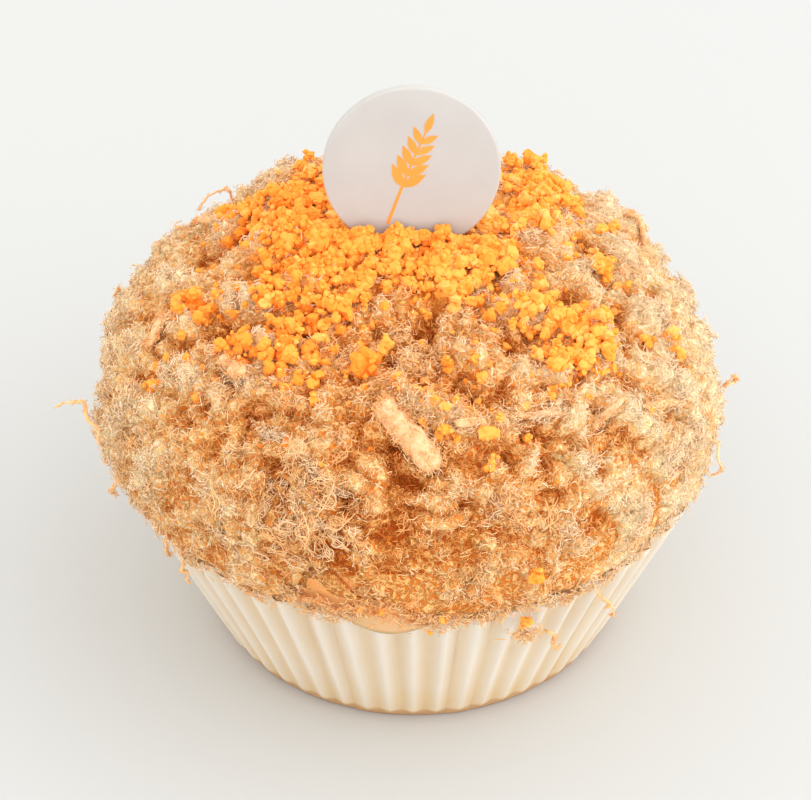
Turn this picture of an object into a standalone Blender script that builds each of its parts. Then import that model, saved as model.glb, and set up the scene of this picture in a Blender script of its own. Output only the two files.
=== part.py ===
"""A baked bun in a pleated paper cup, under a coat of floss and salted yolk crumbs.

A round white topper plate stands on its edge in the crumbs at the crown.
Metres, +Z up. The origin is the centre of the cup's base, and the front is -Y.
"""

import math
import random

import bmesh
import bpy
import numpy as np
from mathutils import Matrix, Vector

MM = 0.001
GAP = 0.3 * MM  # clearance left between two pieces that touch

# The paper cup is a 114 mm round of paper, pleated round a 54 mm base.
CUP_BASE_RADIUS = 27.0 * MM
CUP_RIM_RADIUS = 39.2 * MM
CUP_HEIGHT = 27.5 * MM
PLEATS = 56
FRONT_PLEAT = math.radians(-90.5)
PLEAT_DEPTH_AT_BASE = 0.3 * MM
PLEAT_DEPTH_AT_RIM = 1.8 * MM
PLEAT_CREST_SHARE = 0.44  # part of a pleat's width that its flat crest takes
PAPER = 0.5 * MM

# The bun fills the cup and rises over the rim as a dome.
BUN_RADIUS = 38.6 * MM
BUN_WIDEST_Z = 31.5 * MM
BUN_TOP_Z = 51.5 * MM
BUN_EXPONENT = 2.4
BUN_SIDES = 50
FRONT_OVERHANG = 1.0 * MM

# The floss lies on the dome as a thick, uneven coat.
FLOSS_RADIUS = 40.3 * MM
FLOSS_WIDEST_Z = 36.5 * MM
FLOSS_TOP_Z = 56.2 * MM
FLOSS_EXPONENT = 2.5
FLOSS_CENTRE_X = -0.7 * MM
FLOSS_HEM_RADIUS = 39.9 * MM
FLOSS_HEM_Z = 28.9 * MM
FLOSS_HEM_LOWEST_Z = 28.3 * MM
CORE_HEM_LATITUDE = math.radians(-20)
CORE_HEM_SHARE = 0.15  # part of the way from hem to crown that lies below the widest ring
CORE_UNDERSIDE_Z = 34.0 * MM
FIELD_WAVES = 14
KNOT_LENGTH = 8.5 * MM
TUFT_LENGTH = 4.6 * MM
PIT_LENGTH = 8.0 * MM

# The topper plate leans back, its lower edge sunk in the crumbs.
PLATE_RADIUS = 11.5 * MM
PLATE_THICKNESS = 1.2 * MM
PLATE_CENTRE = Vector((-0.43, 5.2, 66.3)) * MM
PLATE_LEAN = math.radians(11.1)
PLATE_YAW = math.radians(2.5)
PLATE_EDGE_ROUNDING = 0.25 * MM

# Drifts of yolk crumbs on the dome: centre x and y, spread in x and y, and share of the crumbs.
CRUMB_DRIFTS = (
    (-15.0, 10.0, 6.0, 9.0, 0.20),
    (-12.0, -3.0, 7.0, 6.0, 0.20),
    (2.0, -5.5, 7.0, 4.5, 0.16),
    (15.0, 10.0, 5.0, 9.0, 0.18),
    (20.0, -14.0, 4.0, 5.5, 0.10),
    (-18.0, -16.0, 5.0, 4.5, 0.08),
    (0.0, 16.0, 12.0, 6.0, 0.08),
)
CRUMBS = 70
CRUMB_SIZES = (1.9 * MM, 3.6 * MM)

# Large crumbs that lie apart: x, y and width.
LONE_CRUMBS = (
    (-6.0, -20.5, 4.2),
    (1.0, -29.2, 1.8),
    (30.5, -9.5, 2.2),
    (24.5, 1.0, 2.6),
    (-27.5, -6.0, 2.8),
    (-34.0, 4.5, 1.8),
    (9.0, 27.0, 2.4),
    (-8.0, 30.0, 2.2),
    (27.0, 14.0, 2.0),
)

# Pale slivers of floss: x, y, heading in degrees, length and width.
SLIVERS = (
    (-2.2, -29.3, -50.0, 11.5, 2.3),
    (-22.3, -19.0, -52.0, 7.5, 2.0),
    (-12.5, -34.5, -38.0, 9.0, 1.9),
    (15.2, -26.5, 12.0, 7.0, 1.2),
    (31.5, -18.5, 40.0, 10.0, 1.2),
    (-33.5, -7.0, 70.0, 6.5, 2.0),
    (-29.0, 17.0, 120.0, 8.0, 1.6),
    (29.0, 21.0, -35.0, 8.0, 1.6),
    (12.0, 33.5, 15.0, 9.0, 1.6),
    (-13.0, 33.0, -20.0, 8.0, 1.8),
    (6.5, -29.5, 20.0, 3.2, 1.6),
    (24.0, -24.0, 55.0, 6.0, 1.4),
)

# Loose strands at the hem: azimuth in degrees, height, length along the hem, and droop.
HEM_STRANDS = (
    (-152.0, 33.0, 9.0, 2.6),
    (176.0, 38.0, 9.0, -2.2),
    (-74.0, 30.5, 8.0, 0.8),
    (-50.0, 32.0, 9.0, 1.6),
    (-13.0, 34.0, 8.0, 2.4),
    (4.0, 38.0, 7.0, -1.6),
    (33.0, 33.0, 8.0, 1.8),
    (103.0, 33.0, 8.0, 2.0),
    (140.0, 32.5, 9.0, 1.8),
)
TOP_STRANDS = 9
STRAND_RADIUS = 0.35 * MM


def remove_everything():
    for obj in list(bpy.data.objects):
        bpy.data.objects.remove(obj, do_unlink=True)


def material(name, colour, roughness):
    """A Principled material; colour is the sRGB value of 0 to 255 that the eye sees."""
    made = bpy.data.materials.new(name)
    made.use_nodes = True
    shader = made.node_tree.nodes["Principled BSDF"]
    linear = [(channel / 255) ** 2.2 for channel in colour]
    shader.inputs["Base Color"].default_value = (*linear, 1.0)
    shader.inputs["Roughness"].default_value = roughness
    shader.inputs["Metallic"].default_value = 0.0
    return made


def object_from(mesh_in_progress, name, look=None):
    """Turns a bmesh into an object of the scene, with its faces pointing out."""
    bmesh.ops.recalc_face_normals(mesh_in_progress, faces=mesh_in_progress.faces)
    mesh = bpy.data.meshes.new(name)
    mesh_in_progress.to_mesh(mesh)
    mesh_in_progress.free()
    if look:
        mesh.materials.append(look)
    made = bpy.data.objects.new(name, mesh)
    bpy.context.scene.collection.objects.link(made)
    return made


def body_of_rings(rings, first_pole, last_pole):
    """A closed body: rings of equal count joined in order, each end closed by a fan to its pole."""
    shape = bmesh.new()
    loops = [[shape.verts.new(point) for point in ring] for ring in rings]
    count = len(loops[0])
    for lower, upper in zip(loops, loops[1:]):
        for i in range(count):
            j = (i + 1) % count
            shape.faces.new((lower[i], lower[j], upper[j], upper[i]))
    for loop, pole in ((loops[0], first_pole), (loops[-1], last_pole)):
        centre = shape.verts.new(pole)
        for i in range(count):
            shape.faces.new((loop[i], loop[(i + 1) % count], centre))
    return shape


def cup_crest_radius(z):
    return CUP_BASE_RADIUS + (CUP_RIM_RADIUS - CUP_BASE_RADIUS) * z / CUP_HEIGHT


def cup_pleat_depth(z):
    return PLEAT_DEPTH_AT_BASE + (PLEAT_DEPTH_AT_RIM - PLEAT_DEPTH_AT_BASE) * z / CUP_HEIGHT


def cup_ring(z, inset):
    """One height of the pleated wall: each pleat has a flat crest and a sharp valley."""
    pitch = 2 * math.pi / PLEATS
    crest = cup_crest_radius(z) - inset
    valley = crest - cup_pleat_depth(z)
    ring = []
    for pleat in range(PLEATS):
        middle = FRONT_PLEAT + pleat * pitch
        half_crest = PLEAT_CREST_SHARE / 2 * pitch
        for angle, radius in (
            (middle - half_crest, crest),
            (middle + half_crest, crest),
            (middle + pitch / 2, valley),
        ):
            ring.append((radius * math.cos(angle), radius * math.sin(angle), z))
    return ring


def make_paper_cup():
    heights = [0.0, CUP_HEIGHT * 0.06, CUP_HEIGHT]
    edge_turn_in = 0.5 * MM
    outside = [cup_ring(z, edge_turn_in if z == 0 else 0.0) for z in heights]
    inside = [cup_ring(z, PAPER) for z in reversed(heights[1:])]
    floor = cup_ring(PAPER, PAPER + edge_turn_in)
    shape = body_of_rings(outside + inside + [floor], (0, 0, 0), (0, 0, PAPER))
    return object_from(shape, "paper_cup", material("white_paper", (240, 232, 216), 0.75))


def bun_overhang(angle):
    """The dough swells furthest over the rim at the front."""
    away = (angle - math.radians(-93)) / math.radians(20)
    return FRONT_OVERHANG * math.exp(-away * away)


def dome_profile(radius, widest_z, top_z, exponent, steps):
    """Radius and height from the widest ring up to just short of the pole."""
    angles = [math.pi / 2 * step / steps for step in range(steps)]
    return [
        (
            radius * math.cos(angle) ** (2 / exponent),
            widest_z + (top_z - widest_z) * math.sin(angle) ** (2 / exponent),
        )
        for angle in angles
    ]


def bun_dome_rings(grow):
    """The bun above the rim: a lip that rests over the paper, then the dome."""
    lip_z = CUP_HEIGHT + GAP + 0.15 * MM
    profile = [(BUN_RADIUS - 0.9 * MM, lip_z), (BUN_RADIUS - 0.1 * MM, lip_z + 0.9 * MM)]
    profile += dome_profile(BUN_RADIUS, BUN_WIDEST_Z, BUN_TOP_Z, BUN_EXPONENT, 8)
    rings = []
    for radius, z in profile:
        above_widest = max(0.0, (z - BUN_WIDEST_Z) / (BUN_TOP_Z - BUN_WIDEST_Z))
        swell = 1 - above_widest
        ring = []
        for side in range(BUN_SIDES):
            angle = 2 * math.pi * side / BUN_SIDES - math.pi
            out = radius + swell * bun_overhang(angle) + grow
            ring.append((out * math.cos(angle), out * math.sin(angle), z + above_widest * grow))
        rings.append(ring)
    return rings


def round_ring(radius, z, sides=BUN_SIDES):
    angles = [2 * math.pi * side / sides - math.pi for side in range(sides)]
    return [(radius * math.cos(a), radius * math.sin(a), z) for a in angles]


def inside_cup_radius(z):
    return cup_crest_radius(z) - cup_pleat_depth(z) - PAPER - GAP


def make_bun():
    floor_z = PAPER + GAP
    top_in_cup_z = CUP_HEIGHT + 0.1 * MM
    wall_heights = [floor_z + 1.2 * MM, top_in_cup_z]
    foot = round_ring(inside_cup_radius(floor_z) - 1.0 * MM, floor_z)
    wall = [round_ring(inside_cup_radius(z), z) for z in wall_heights]
    rings = [foot] + wall + bun_dome_rings(0.0)
    shape = body_of_rings(rings, (0, 0, floor_z), (0, 0, BUN_TOP_Z))
    made = object_from(shape, "bun", material("baked_crust", (226, 168, 96), 0.45))
    made.data.shade_smooth()
    made.data.set_sharp_from_angle(angle=math.radians(40))
    return made


def bun_cutter():
    """The dome grown by the gap, for the hollow underside of the floss."""
    below = round_ring(inside_cup_radius(CUP_HEIGHT) - 2 * MM, CUP_HEIGHT - 4 * MM)
    shape = body_of_rings(
        [below] + bun_dome_rings(GAP), (0, 0, CUP_HEIGHT - 4 * MM), (0, 0, BUN_TOP_Z + GAP)
    )
    return object_from(shape, "bun_cutter")


def bell(offset, width):
    return np.exp(-((offset / width) ** 2))


def around(angle, centre_degrees):
    """Signed difference of two directions, in degrees from -180 to 180."""
    return (np.degrees(angle) - centre_degrees + 180) % 360 - 180


def field(points, length, seed):
    """Smooth noise, mostly within -2 to 2: plane waves of one length in seeded directions, added up."""
    draw = np.random.RandomState(seed)
    directions = draw.normal(size=(FIELD_WAVES, 3))
    directions /= np.linalg.norm(directions, axis=1)[:, None]
    phases = draw.uniform(0, 2 * np.pi, FIELD_WAVES)
    turns = points @ directions.T * (2 * np.pi / length) + phases
    return np.cos(turns).sum(axis=1) * math.sqrt(2 / FIELD_WAVES)


def floss_hem_z(angle):
    """The uneven lower edge: it bares the bun in two bays at the front."""
    wave = 0.5 * np.sin(5 * angle + 0.8) + 0.4 * np.sin(9 * angle + 2.0) + 0.3 * np.sin(16 * angle)
    z = FLOSS_HEM_Z + 0.8 * MM * wave
    z += 6.0 * MM * bell(around(angle, -107), 5.5)
    z += 3.4 * MM * bell(around(angle, -96), 6.0)
    return np.maximum(z, FLOSS_HEM_LOWEST_Z)


def floss_bulge(angle, z):
    """Broad swellings of the outline, strongest left and right of the middle."""
    height = (z - FLOSS_WIDEST_Z) / MM
    bulge = 1.1 * bell(around(angle, 2), 16) * bell(height, 7)
    bulge += 1.4 * bell(around(angle, -171), 14) * bell(height + 3, 6)
    bulge += 1.0 * bell(around(angle, 150), 22) * bell(height - 10, 6)
    bulge += 0.9 * bell(around(angle, 38), 20) * bell(height - 9, 6)
    bulge -= 0.4 * bell(around(angle, -60), 22) * bell(height + 2, 8)
    return bulge * MM


def drift_depth(x, y):
    """How thick the crumbs lie, from 0 to about 1: a bell over each drift."""
    depth = np.zeros_like(x)
    for centre_x, centre_y, spread_x, spread_y, share in CRUMB_DRIFTS:
        away = np.hypot((x / MM - centre_x) / spread_x, (y / MM - centre_y) / spread_y)
        depth = depth + 4.5 * share * bell(away, 1.2)
    return np.minimum(depth, 1.0)


def clump_relief(points):
    """Height of the tufts: knots with pits between them, deepest where the coat is thick, and drifts."""
    knots = field(points, KNOT_LENGTH, 3)
    tufts = field(points, TUFT_LENGTH, 5)
    pits = np.clip((field(points, PIT_LENGTH, 8) - 0.8) / 0.8, 0, 1)
    top = np.clip((points[:, 2] - 48 * MM) / (6 * MM), 0, 1)
    drift = drift_depth(points[:, 0], points[:, 1]) * top
    relief = 0.2 + 0.5 * knots + 0.32 * tufts - 1.3 * pits * (1 - 0.7 * drift) + 0.8 * drift
    deepest = -0.6 - 1.2 * np.clip((points[:, 2] - 41 * MM) / (9 * MM), 0, 1)
    return np.maximum(relief, deepest) * MM


def floss_base(angle, lift):
    """The smooth coat: lift runs from -1 at the hem over 0 at the widest ring to 1 at the crown."""
    turn = np.abs(lift) * np.pi / 2
    across = np.clip(np.cos(turn), 0, 1)
    up = np.sin(turn)
    above = lift >= 0
    widest_up = FLOSS_WIDEST_Z + (FLOSS_TOP_Z - FLOSS_WIDEST_Z) * up ** (2 / FLOSS_EXPONENT)
    widest_down = FLOSS_WIDEST_Z + (floss_hem_z(angle) - FLOSS_WIDEST_Z) * up
    radius_up = FLOSS_RADIUS * across ** (2 / FLOSS_EXPONENT)
    radius_down = FLOSS_HEM_RADIUS + (FLOSS_RADIUS - FLOSS_HEM_RADIUS) * across
    z = np.where(above, widest_up, widest_down)
    radius = np.where(above, radius_up, radius_down) + floss_bulge(angle, z)
    centre_x = FLOSS_CENTRE_X * np.where(above, 1, 1 + lift)
    return np.stack([centre_x + radius * np.cos(angle), radius * np.sin(angle), z], axis=1)


def floss_surface(angle, lift):
    """Points and normals of the coat with its tufts, which fade at the hem and at the crown."""
    step = 0.01
    lower = np.clip(lift - step, -1, 1)
    upper = np.clip(lift + step, -1, 1)
    along = floss_base(angle, upper) - floss_base(angle, lower)
    across = floss_base(angle + step, lift) - floss_base(angle - step, lift)
    normal = np.cross(across, along)
    size = np.linalg.norm(normal, axis=1)[:, None]
    normal = np.where(size > 1e-12, normal / np.maximum(size, 1e-12), (0, 0, 1))
    here = floss_base(angle, lift)
    fade = np.minimum(np.minimum(1, (1 + lift) / 0.6), 0.25 + (1 - lift) / 0.2)
    return here + normal * (clump_relief(here) * fade)[:, None], normal


def floss_point(angle, lift):
    """One point of the coat and its normal."""
    points, normals = floss_surface(np.array([angle]), np.array([lift]))
    return Vector(points[0]), Vector(normals[0])


def lift_of_plan_share(share):
    """Lift of the ring whose radius is this share of the widest ring's."""
    return np.arccos(np.clip(share, 0, 1) ** (FLOSS_EXPONENT / 2)) / (np.pi / 2)


def floss_place(x, y):
    """Point and normal of the coat above a place in plan, given in millimetres."""
    east = x * MM - FLOSS_CENTRE_X
    north = y * MM
    share = math.hypot(east, north) / FLOSS_RADIUS
    return floss_point(math.atan2(north, east), float(lift_of_plan_share(share)))


def make_floss_core():
    """An even net of triangles, drawn from a sphere over the coat and closed under it."""
    shape = bmesh.new()
    bmesh.ops.create_icosphere(shape, subdivisions=5, radius=1.0)
    sphere = np.array([vertex.co for vertex in shape.verts])
    angle = np.arctan2(sphere[:, 1], sphere[:, 0])
    latitude = np.arcsin(np.clip(sphere[:, 2], -1, 1))
    climb = (latitude - CORE_HEM_LATITUDE) / (math.pi / 2 - CORE_HEM_LATITUDE)
    from_crown = np.clip((1 - climb) / (1 - CORE_HEM_SHARE), 0, 1)
    upper_lift = lift_of_plan_share(np.sin(from_crown * np.pi / 2))
    lower_lift = np.clip(climb / CORE_HEM_SHARE - 1, -1, 0)
    coat, _ = floss_surface(angle, np.where(climb < CORE_HEM_SHARE, lower_lift, upper_lift))
    hem = floss_base(angle, np.full(len(angle), -1.0))
    share = np.hypot(sphere[:, 0], sphere[:, 1]) / math.cos(CORE_HEM_LATITUDE)
    underside = hem * share[:, None]
    underside[:, 2] = hem[:, 2] + (CORE_UNDERSIDE_Z - hem[:, 2]) * (1 - share)
    for vertex, place in zip(shape.verts, np.where(climb[:, None] < 0, underside, coat)):
        vertex.co = place
    return object_from(shape, "floss", material("meat_floss", (236, 176, 112), 0.8))


def crumb(place, normal, width, draw):
    """An angular crumb of cooked yolk, half sunk in the floss."""
    shape = bmesh.new()
    bmesh.ops.create_cube(shape, size=width * 0.72)
    stretch = Vector([draw.uniform(0.75, 1.15) for _ in range(3)])
    for vertex in shape.verts:
        vertex.co *= draw.uniform(0.8, 1.15)
        vertex.co = Vector([a * b for a, b in zip(vertex.co, stretch)])
    tumble = Matrix.Rotation(draw.uniform(0, math.pi), 4, "X")
    spin = Matrix.Rotation(draw.uniform(0, 2 * math.pi), 4, normal) @ tumble
    sink = draw.uniform(0.05, 0.22) * width
    move = Matrix.Translation(place + normal * sink)
    bmesh.ops.transform(shape, matrix=move @ spin, verts=shape.verts)
    bmesh.ops.triangulate(shape, faces=shape.faces)
    return object_from(shape, "crumb")


def tube(path, radii, sides, name):
    """A strand: a many-sided tube along a path, carried without twist, with a radius at each point."""
    rings = []
    side = (path[1] - path[0]).orthogonal()
    for i, point in enumerate(path):
        ahead = (path[min(i + 1, len(path) - 1)] - path[max(i - 1, 0)]).normalized()
        side = (side - ahead * side.dot(ahead)).normalized()
        over = side.cross(ahead)
        turns = [2 * math.pi * k / sides for k in range(sides)]
        rings.append([point + (side * math.cos(t) + over * math.sin(t)) * radii[i] for t in turns])
    return object_from(body_of_rings(rings, path[0], path[-1]), name)


def sliver(x, y, heading_degrees, length, width):
    """A pale flat shred, thick in its middle and tapered at both ends, that lies on the coat."""
    heading = math.radians(heading_degrees)
    path = []
    radii = []
    steps = 5
    for step in range(steps + 1):
        share = step / steps - 0.5
        along_x = x + math.cos(heading) * length * share
        along_y = y + math.sin(heading) * length * share
        place, normal = floss_place(along_x, along_y)
        swell = math.cos(share * math.pi * 0.86)
        path.append(place + normal * (0.28 * width * swell - 0.1) * MM)
        radii.append(width / 2 * (0.3 + 0.7 * swell) * MM)
    return tube(path, radii, 4, "sliver")


def top_strand(draw):
    """A strand that leaves the coat, arches over it and dives in again."""
    angle = draw.uniform(-math.pi, math.pi)
    lift = draw.uniform(0.08, 0.62)
    turn = draw.choice((-1, 1)) * draw.uniform(0.1, 0.17)
    climb = draw.uniform(-0.06, 0.06)
    rise = draw.uniform(0.7, 1.6) * MM
    path = []
    steps = 6
    for step in range(steps + 1):
        share = step / steps
        place, normal = floss_point(angle + turn * share, lift + climb * share)
        path.append(place + normal * (rise * math.sin(math.pi * share) - 0.35 * MM))
    return tube(path, [STRAND_RADIUS] * len(path), 3, "strand")


def hem_strand(azimuth, height, length, droop):
    """A strand that hangs out of the hem in a loop, clear of the paper."""
    angle = math.radians(azimuth)
    lift = (height * MM - FLOSS_WIDEST_Z) / (FLOSS_WIDEST_Z - float(floss_hem_z(angle)))
    lift = max(-0.8, min(0.2, lift))
    path = []
    steps = 6
    for step in range(steps + 1):
        share = step / steps
        bow = math.sin(math.pi * share)
        turned = angle + (share - 0.5) * length * MM / FLOSS_RADIUS
        place, normal = floss_point(turned, lift)
        hang = Vector((0, 0, -droop * MM * bow))
        path.append(place + normal * (1.7 * MM * bow - 0.4 * MM) + hang)
    return tube(path, [STRAND_RADIUS * 1.1] * len(path), 4, "strand")


def fused_pieces():
    """Crumbs, slivers and strands, each sunk far enough to join the coat."""
    draw = random.Random(11)
    pieces = []
    for x, y, width in LONE_CRUMBS:
        pieces.append(crumb(*floss_place(x, y), width * MM, draw))
    taken = [(x, y, width) for x, y, width in LONE_CRUMBS]
    for x, y, spread_x, spread_y, share in CRUMB_DRIFTS:
        wanted = round(CRUMBS * share)
        for _ in range(wanted * 12):
            if wanted == 0:
                break
            width = draw.triangular(*CRUMB_SIZES, CRUMB_SIZES[0]) / MM
            px = draw.gauss(x, spread_x * 0.75)
            py = draw.gauss(y, spread_y * 0.75)
            crowded = any(
                math.hypot(px - ox, py - oy) < (width + other) * 0.6 for ox, oy, other in taken
            )
            if crowded or math.hypot(px, py) > 34:
                continue
            taken.append((px, py, width))
            pieces.append(crumb(*floss_place(px, py), width * MM, draw))
            wanted -= 1
    pieces += [sliver(*values) for values in SLIVERS]
    pieces += [top_strand(draw) for _ in range(TOP_STRANDS)]
    pieces += [hem_strand(*values) for values in HEM_STRANDS]
    return pieces


def plate_placement():
    yaw = Matrix.Rotation(PLATE_YAW, 4, "Z")
    lean = Matrix.Rotation(math.pi / 2 - PLATE_LEAN, 4, "X")
    return Matrix.Translation(PLATE_CENTRE) @ yaw @ lean


def plate_shape(grow, sides):
    shape = bmesh.new()
    bmesh.ops.create_cone(
        shape,
        cap_ends=True,
        segments=sides,
        radius1=PLATE_RADIUS + grow,
        radius2=PLATE_RADIUS + grow,
        depth=PLATE_THICKNESS + 2 * grow,
    )
    return shape


def make_topper_plate():
    shape = plate_shape(0.0, 56)
    rims = [edge for edge in shape.edges if abs(edge.verts[0].co.z - edge.verts[1].co.z) < 1e-7]
    bmesh.ops.bevel(
        shape, geom=rims, offset=PLATE_EDGE_ROUNDING, segments=1, affect="EDGES"
    )
    look = material("white_sugar", (233, 224, 217), 0.4)
    made = object_from(shape, "topper_plate", look)
    made.data.transform(plate_placement())
    made.data.shade_smooth()
    made.data.set_sharp_from_angle(angle=math.radians(40))
    return made


def plate_cutter():
    shape = plate_shape(GAP, 56)
    bmesh.ops.transform(shape, matrix=plate_placement(), verts=shape.verts)
    return object_from(shape, "plate_cutter")


def keep_largest_body(target):
    """Drops the scraps that the cuts leave loose, and the skins of hollows that fusing seals."""
    shape = bmesh.new()
    shape.from_mesh(target.data)
    shape.verts.ensure_lookup_table()
    unseen = set(shape.verts)
    groups = []
    while unseen:
        queue = [unseen.pop()]
        group = []
        while queue:
            vertex = queue.pop()
            group.append(vertex)
            for edge in vertex.link_edges:
                other = edge.other_vert(vertex)
                if other in unseen:
                    unseen.remove(other)
                    queue.append(other)
        groups.append(group)
    groups.sort(key=len, reverse=True)
    for group in groups[1:]:
        bmesh.ops.delete(shape, geom=group, context="VERTS")
    shape.to_mesh(target.data)
    shape.free()


def apply_modifiers(target):
    """Bakes the object's modifiers into its mesh."""
    bpy.context.view_layer.update()
    graph = bpy.context.evaluated_depsgraph_get()
    finished = bpy.data.meshes.new_from_object(target.evaluated_get(graph))
    target.modifiers.clear()
    old = target.data
    target.data = finished
    bpy.data.meshes.remove(old)


def make_floss():
    core = make_floss_core()
    pieces = bpy.data.collections.new("fused_pieces")
    bpy.context.scene.collection.children.link(pieces)
    for piece in fused_pieces():
        bpy.context.scene.collection.objects.unlink(piece)
        pieces.objects.link(piece)
    union = core.modifiers.new("fuse", "BOOLEAN")
    union.operation = "UNION"
    union.operand_type = "COLLECTION"
    union.collection = pieces
    cutters = [bun_cutter(), plate_cutter()]
    for cutter in cutters:
        cut = core.modifiers.new("clear_" + cutter.name, "BOOLEAN")
        cut.operation = "DIFFERENCE"
        cut.object = cutter
    apply_modifiers(core)
    keep_largest_body(core)
    for helper in list(pieces.objects) + cutters:
        bpy.data.objects.remove(helper, do_unlink=True)
    bpy.data.collections.remove(pieces)
    return core


remove_everything()
make_paper_cup()
make_bun()
make_floss()
make_topper_plate()
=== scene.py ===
"""The looks of a baked bun in a pleated paper cup, coated with floss and salted yolk crumbs.

Metres, +Z up. The origin is the centre of the cup's base, and the front is -Y.
"""

import math

import bpy
import numpy as np
from mathutils import Matrix, Vector


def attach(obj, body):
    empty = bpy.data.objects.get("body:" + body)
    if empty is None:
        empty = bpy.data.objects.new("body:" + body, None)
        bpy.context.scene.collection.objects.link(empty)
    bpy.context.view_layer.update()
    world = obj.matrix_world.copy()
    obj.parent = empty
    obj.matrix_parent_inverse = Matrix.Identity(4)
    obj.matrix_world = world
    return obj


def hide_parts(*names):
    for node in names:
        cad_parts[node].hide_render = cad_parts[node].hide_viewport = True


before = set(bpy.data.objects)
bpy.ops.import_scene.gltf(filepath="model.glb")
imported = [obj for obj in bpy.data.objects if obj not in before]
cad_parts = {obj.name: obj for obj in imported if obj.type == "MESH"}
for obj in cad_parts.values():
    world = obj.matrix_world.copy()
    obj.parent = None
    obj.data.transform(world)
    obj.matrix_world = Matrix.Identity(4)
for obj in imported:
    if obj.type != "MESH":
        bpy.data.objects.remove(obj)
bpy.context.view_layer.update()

# Camera: it looks down on the front of the bun from about half a metre, through a long lens,
# with the bun in the middle of the frame.
MM = 0.001
LOOK_AT = Vector((0, 0, 40.3)) * MM
CAMERA_ELEVATION = math.radians(37.5)
CAMERA_DISTANCE = 477 * MM
SENSOR_WIDTH = 36
LENS_LENGTH = 160.5
LENS_SHIFT = (-0.0117, -0.0574)

lens = bpy.data.cameras.new("camera")
lens.sensor_width = SENSOR_WIDTH
lens.lens = LENS_LENGTH
lens.shift_x, lens.shift_y = LENS_SHIFT
camera = bpy.data.objects.new("camera", lens)
bpy.context.scene.collection.objects.link(camera)
away = Vector((0, -math.cos(CAMERA_ELEVATION), math.sin(CAMERA_ELEVATION)))
camera.location = LOOK_AT + away * CAMERA_DISTANCE
camera.rotation_euler = (math.pi / 2 - CAMERA_ELEVATION, 0, 0)
bpy.context.scene.camera = camera
bpy.context.scene.view_settings.view_transform = "Standard"

# Paper cup: a round of thin white greaseproof paper, pressed into 56 pleats round a flat base.
# Each pleat is a broad soft ridge with a narrow valley. The paper is warmer and darker in the
# valleys and low on the wall, partly the fat of the dough where it lies against the bun and
# partly painted shade, and a band of painted contact shadow runs along the base.
CUP_BASE_RADIUS = 27.0 * MM
CUP_RIM_RADIUS = 39.2 * MM
CUP_HEIGHT = 27.5 * MM
CUP_PAPER = 0.12 * MM
PLEATS = 56
FRONT_PLEAT = math.radians(-90.5)
PLEAT_DEPTH_AT_BASE = 0.35 * MM
PLEAT_DEPTH_AT_RIM = 1.4 * MM
BASE_FOLD_RADIUS = 0.44 * MM
RIDGE_END_Z = 1.5 * MM
CUP_COLUMNS = PLEATS * 14
PULP_LENGTH = 0.7 * MM
STAIN_LENGTH = 9 * MM
# Painted shade: the tint reaches up the lower wall, and a band of painted contact shadow lines the
# base.
TINT_AND_SHADE_UP_TO = 9 * MM
BASE_SHADE_UP_TO = 2.2 * MM
PAPER_WHITE = (238, 223, 202)
PAPER_TINTED_AND_SHADED = (226, 193, 148)
PAPER_BASE_SHADE = (200, 150, 102)


def eye_colour(red, green, blue):
    """Linear colour of an sRGB one of 0 to 255."""
    return tuple(((channel / 255) ** 2.2) for channel in (red, green, blue)) + (1.0,)


def ringed_faces(rows, columns):
    """Faces of a closed shape of rings joined row to row, each end closed by a fan to its pole.

    Vertex row * columns + column is point (row, column), and the two poles come last.
    """
    row, column = np.meshgrid(np.arange(rows - 1), np.arange(columns), indexing="ij")
    here = (row * columns + column).ravel()
    beside = (row * columns + (column + 1) % columns).ravel()
    quads = np.stack([here, beside, beside + columns, here + columns], axis=1)
    ring = np.arange(columns)
    turned = (ring + 1) % columns
    top = (rows - 1) * columns
    first, last = np.full(columns, rows * columns), np.full(columns, rows * columns + 1)
    fans = np.concatenate(
        [np.stack([turned, ring, first], axis=1), np.stack([top + ring, top + turned, last], axis=1)]
    )
    return quads, fans


def ringed_piece(name, rings, first_pole, last_pole):
    """A closed piece of rings, whose map OFBake runs once round and once along the rings."""
    rows, columns = rings.shape[:2]
    points = np.concatenate([rings.reshape(-1, 3), [first_pole], [last_pole]])
    quads, fans = ringed_faces(rows, columns)
    row, column = np.meshgrid(np.arange(rows - 1), np.arange(columns), indexing="ij")
    ring = np.arange(columns)
    left = column.ravel() / columns
    right = left + 1 / columns
    low = (row.ravel() + 1) / (rows + 1)
    high = low + 1 / (rows + 1)
    quad_map = np.stack([left, low, right, low, right, high, left, high], axis=1)
    one_left = ring / columns
    one_right = one_left + 1 / columns
    middle = (one_left + one_right) / 2
    first = np.full(columns, 1 / (rows + 1))
    last = np.full(columns, rows / (rows + 1))
    zero = np.zeros(columns)
    fan_map = np.concatenate(
        [
            np.stack([one_right, first, one_left, first, middle, zero], axis=1),
            np.stack([one_left, last, one_right, last, middle, zero + 1], axis=1),
        ]
    )
    corner_map = np.concatenate([quad_map.ravel(), fan_map.ravel()])
    return piece_of(name, points, quads, fans, corner_map)


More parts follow.
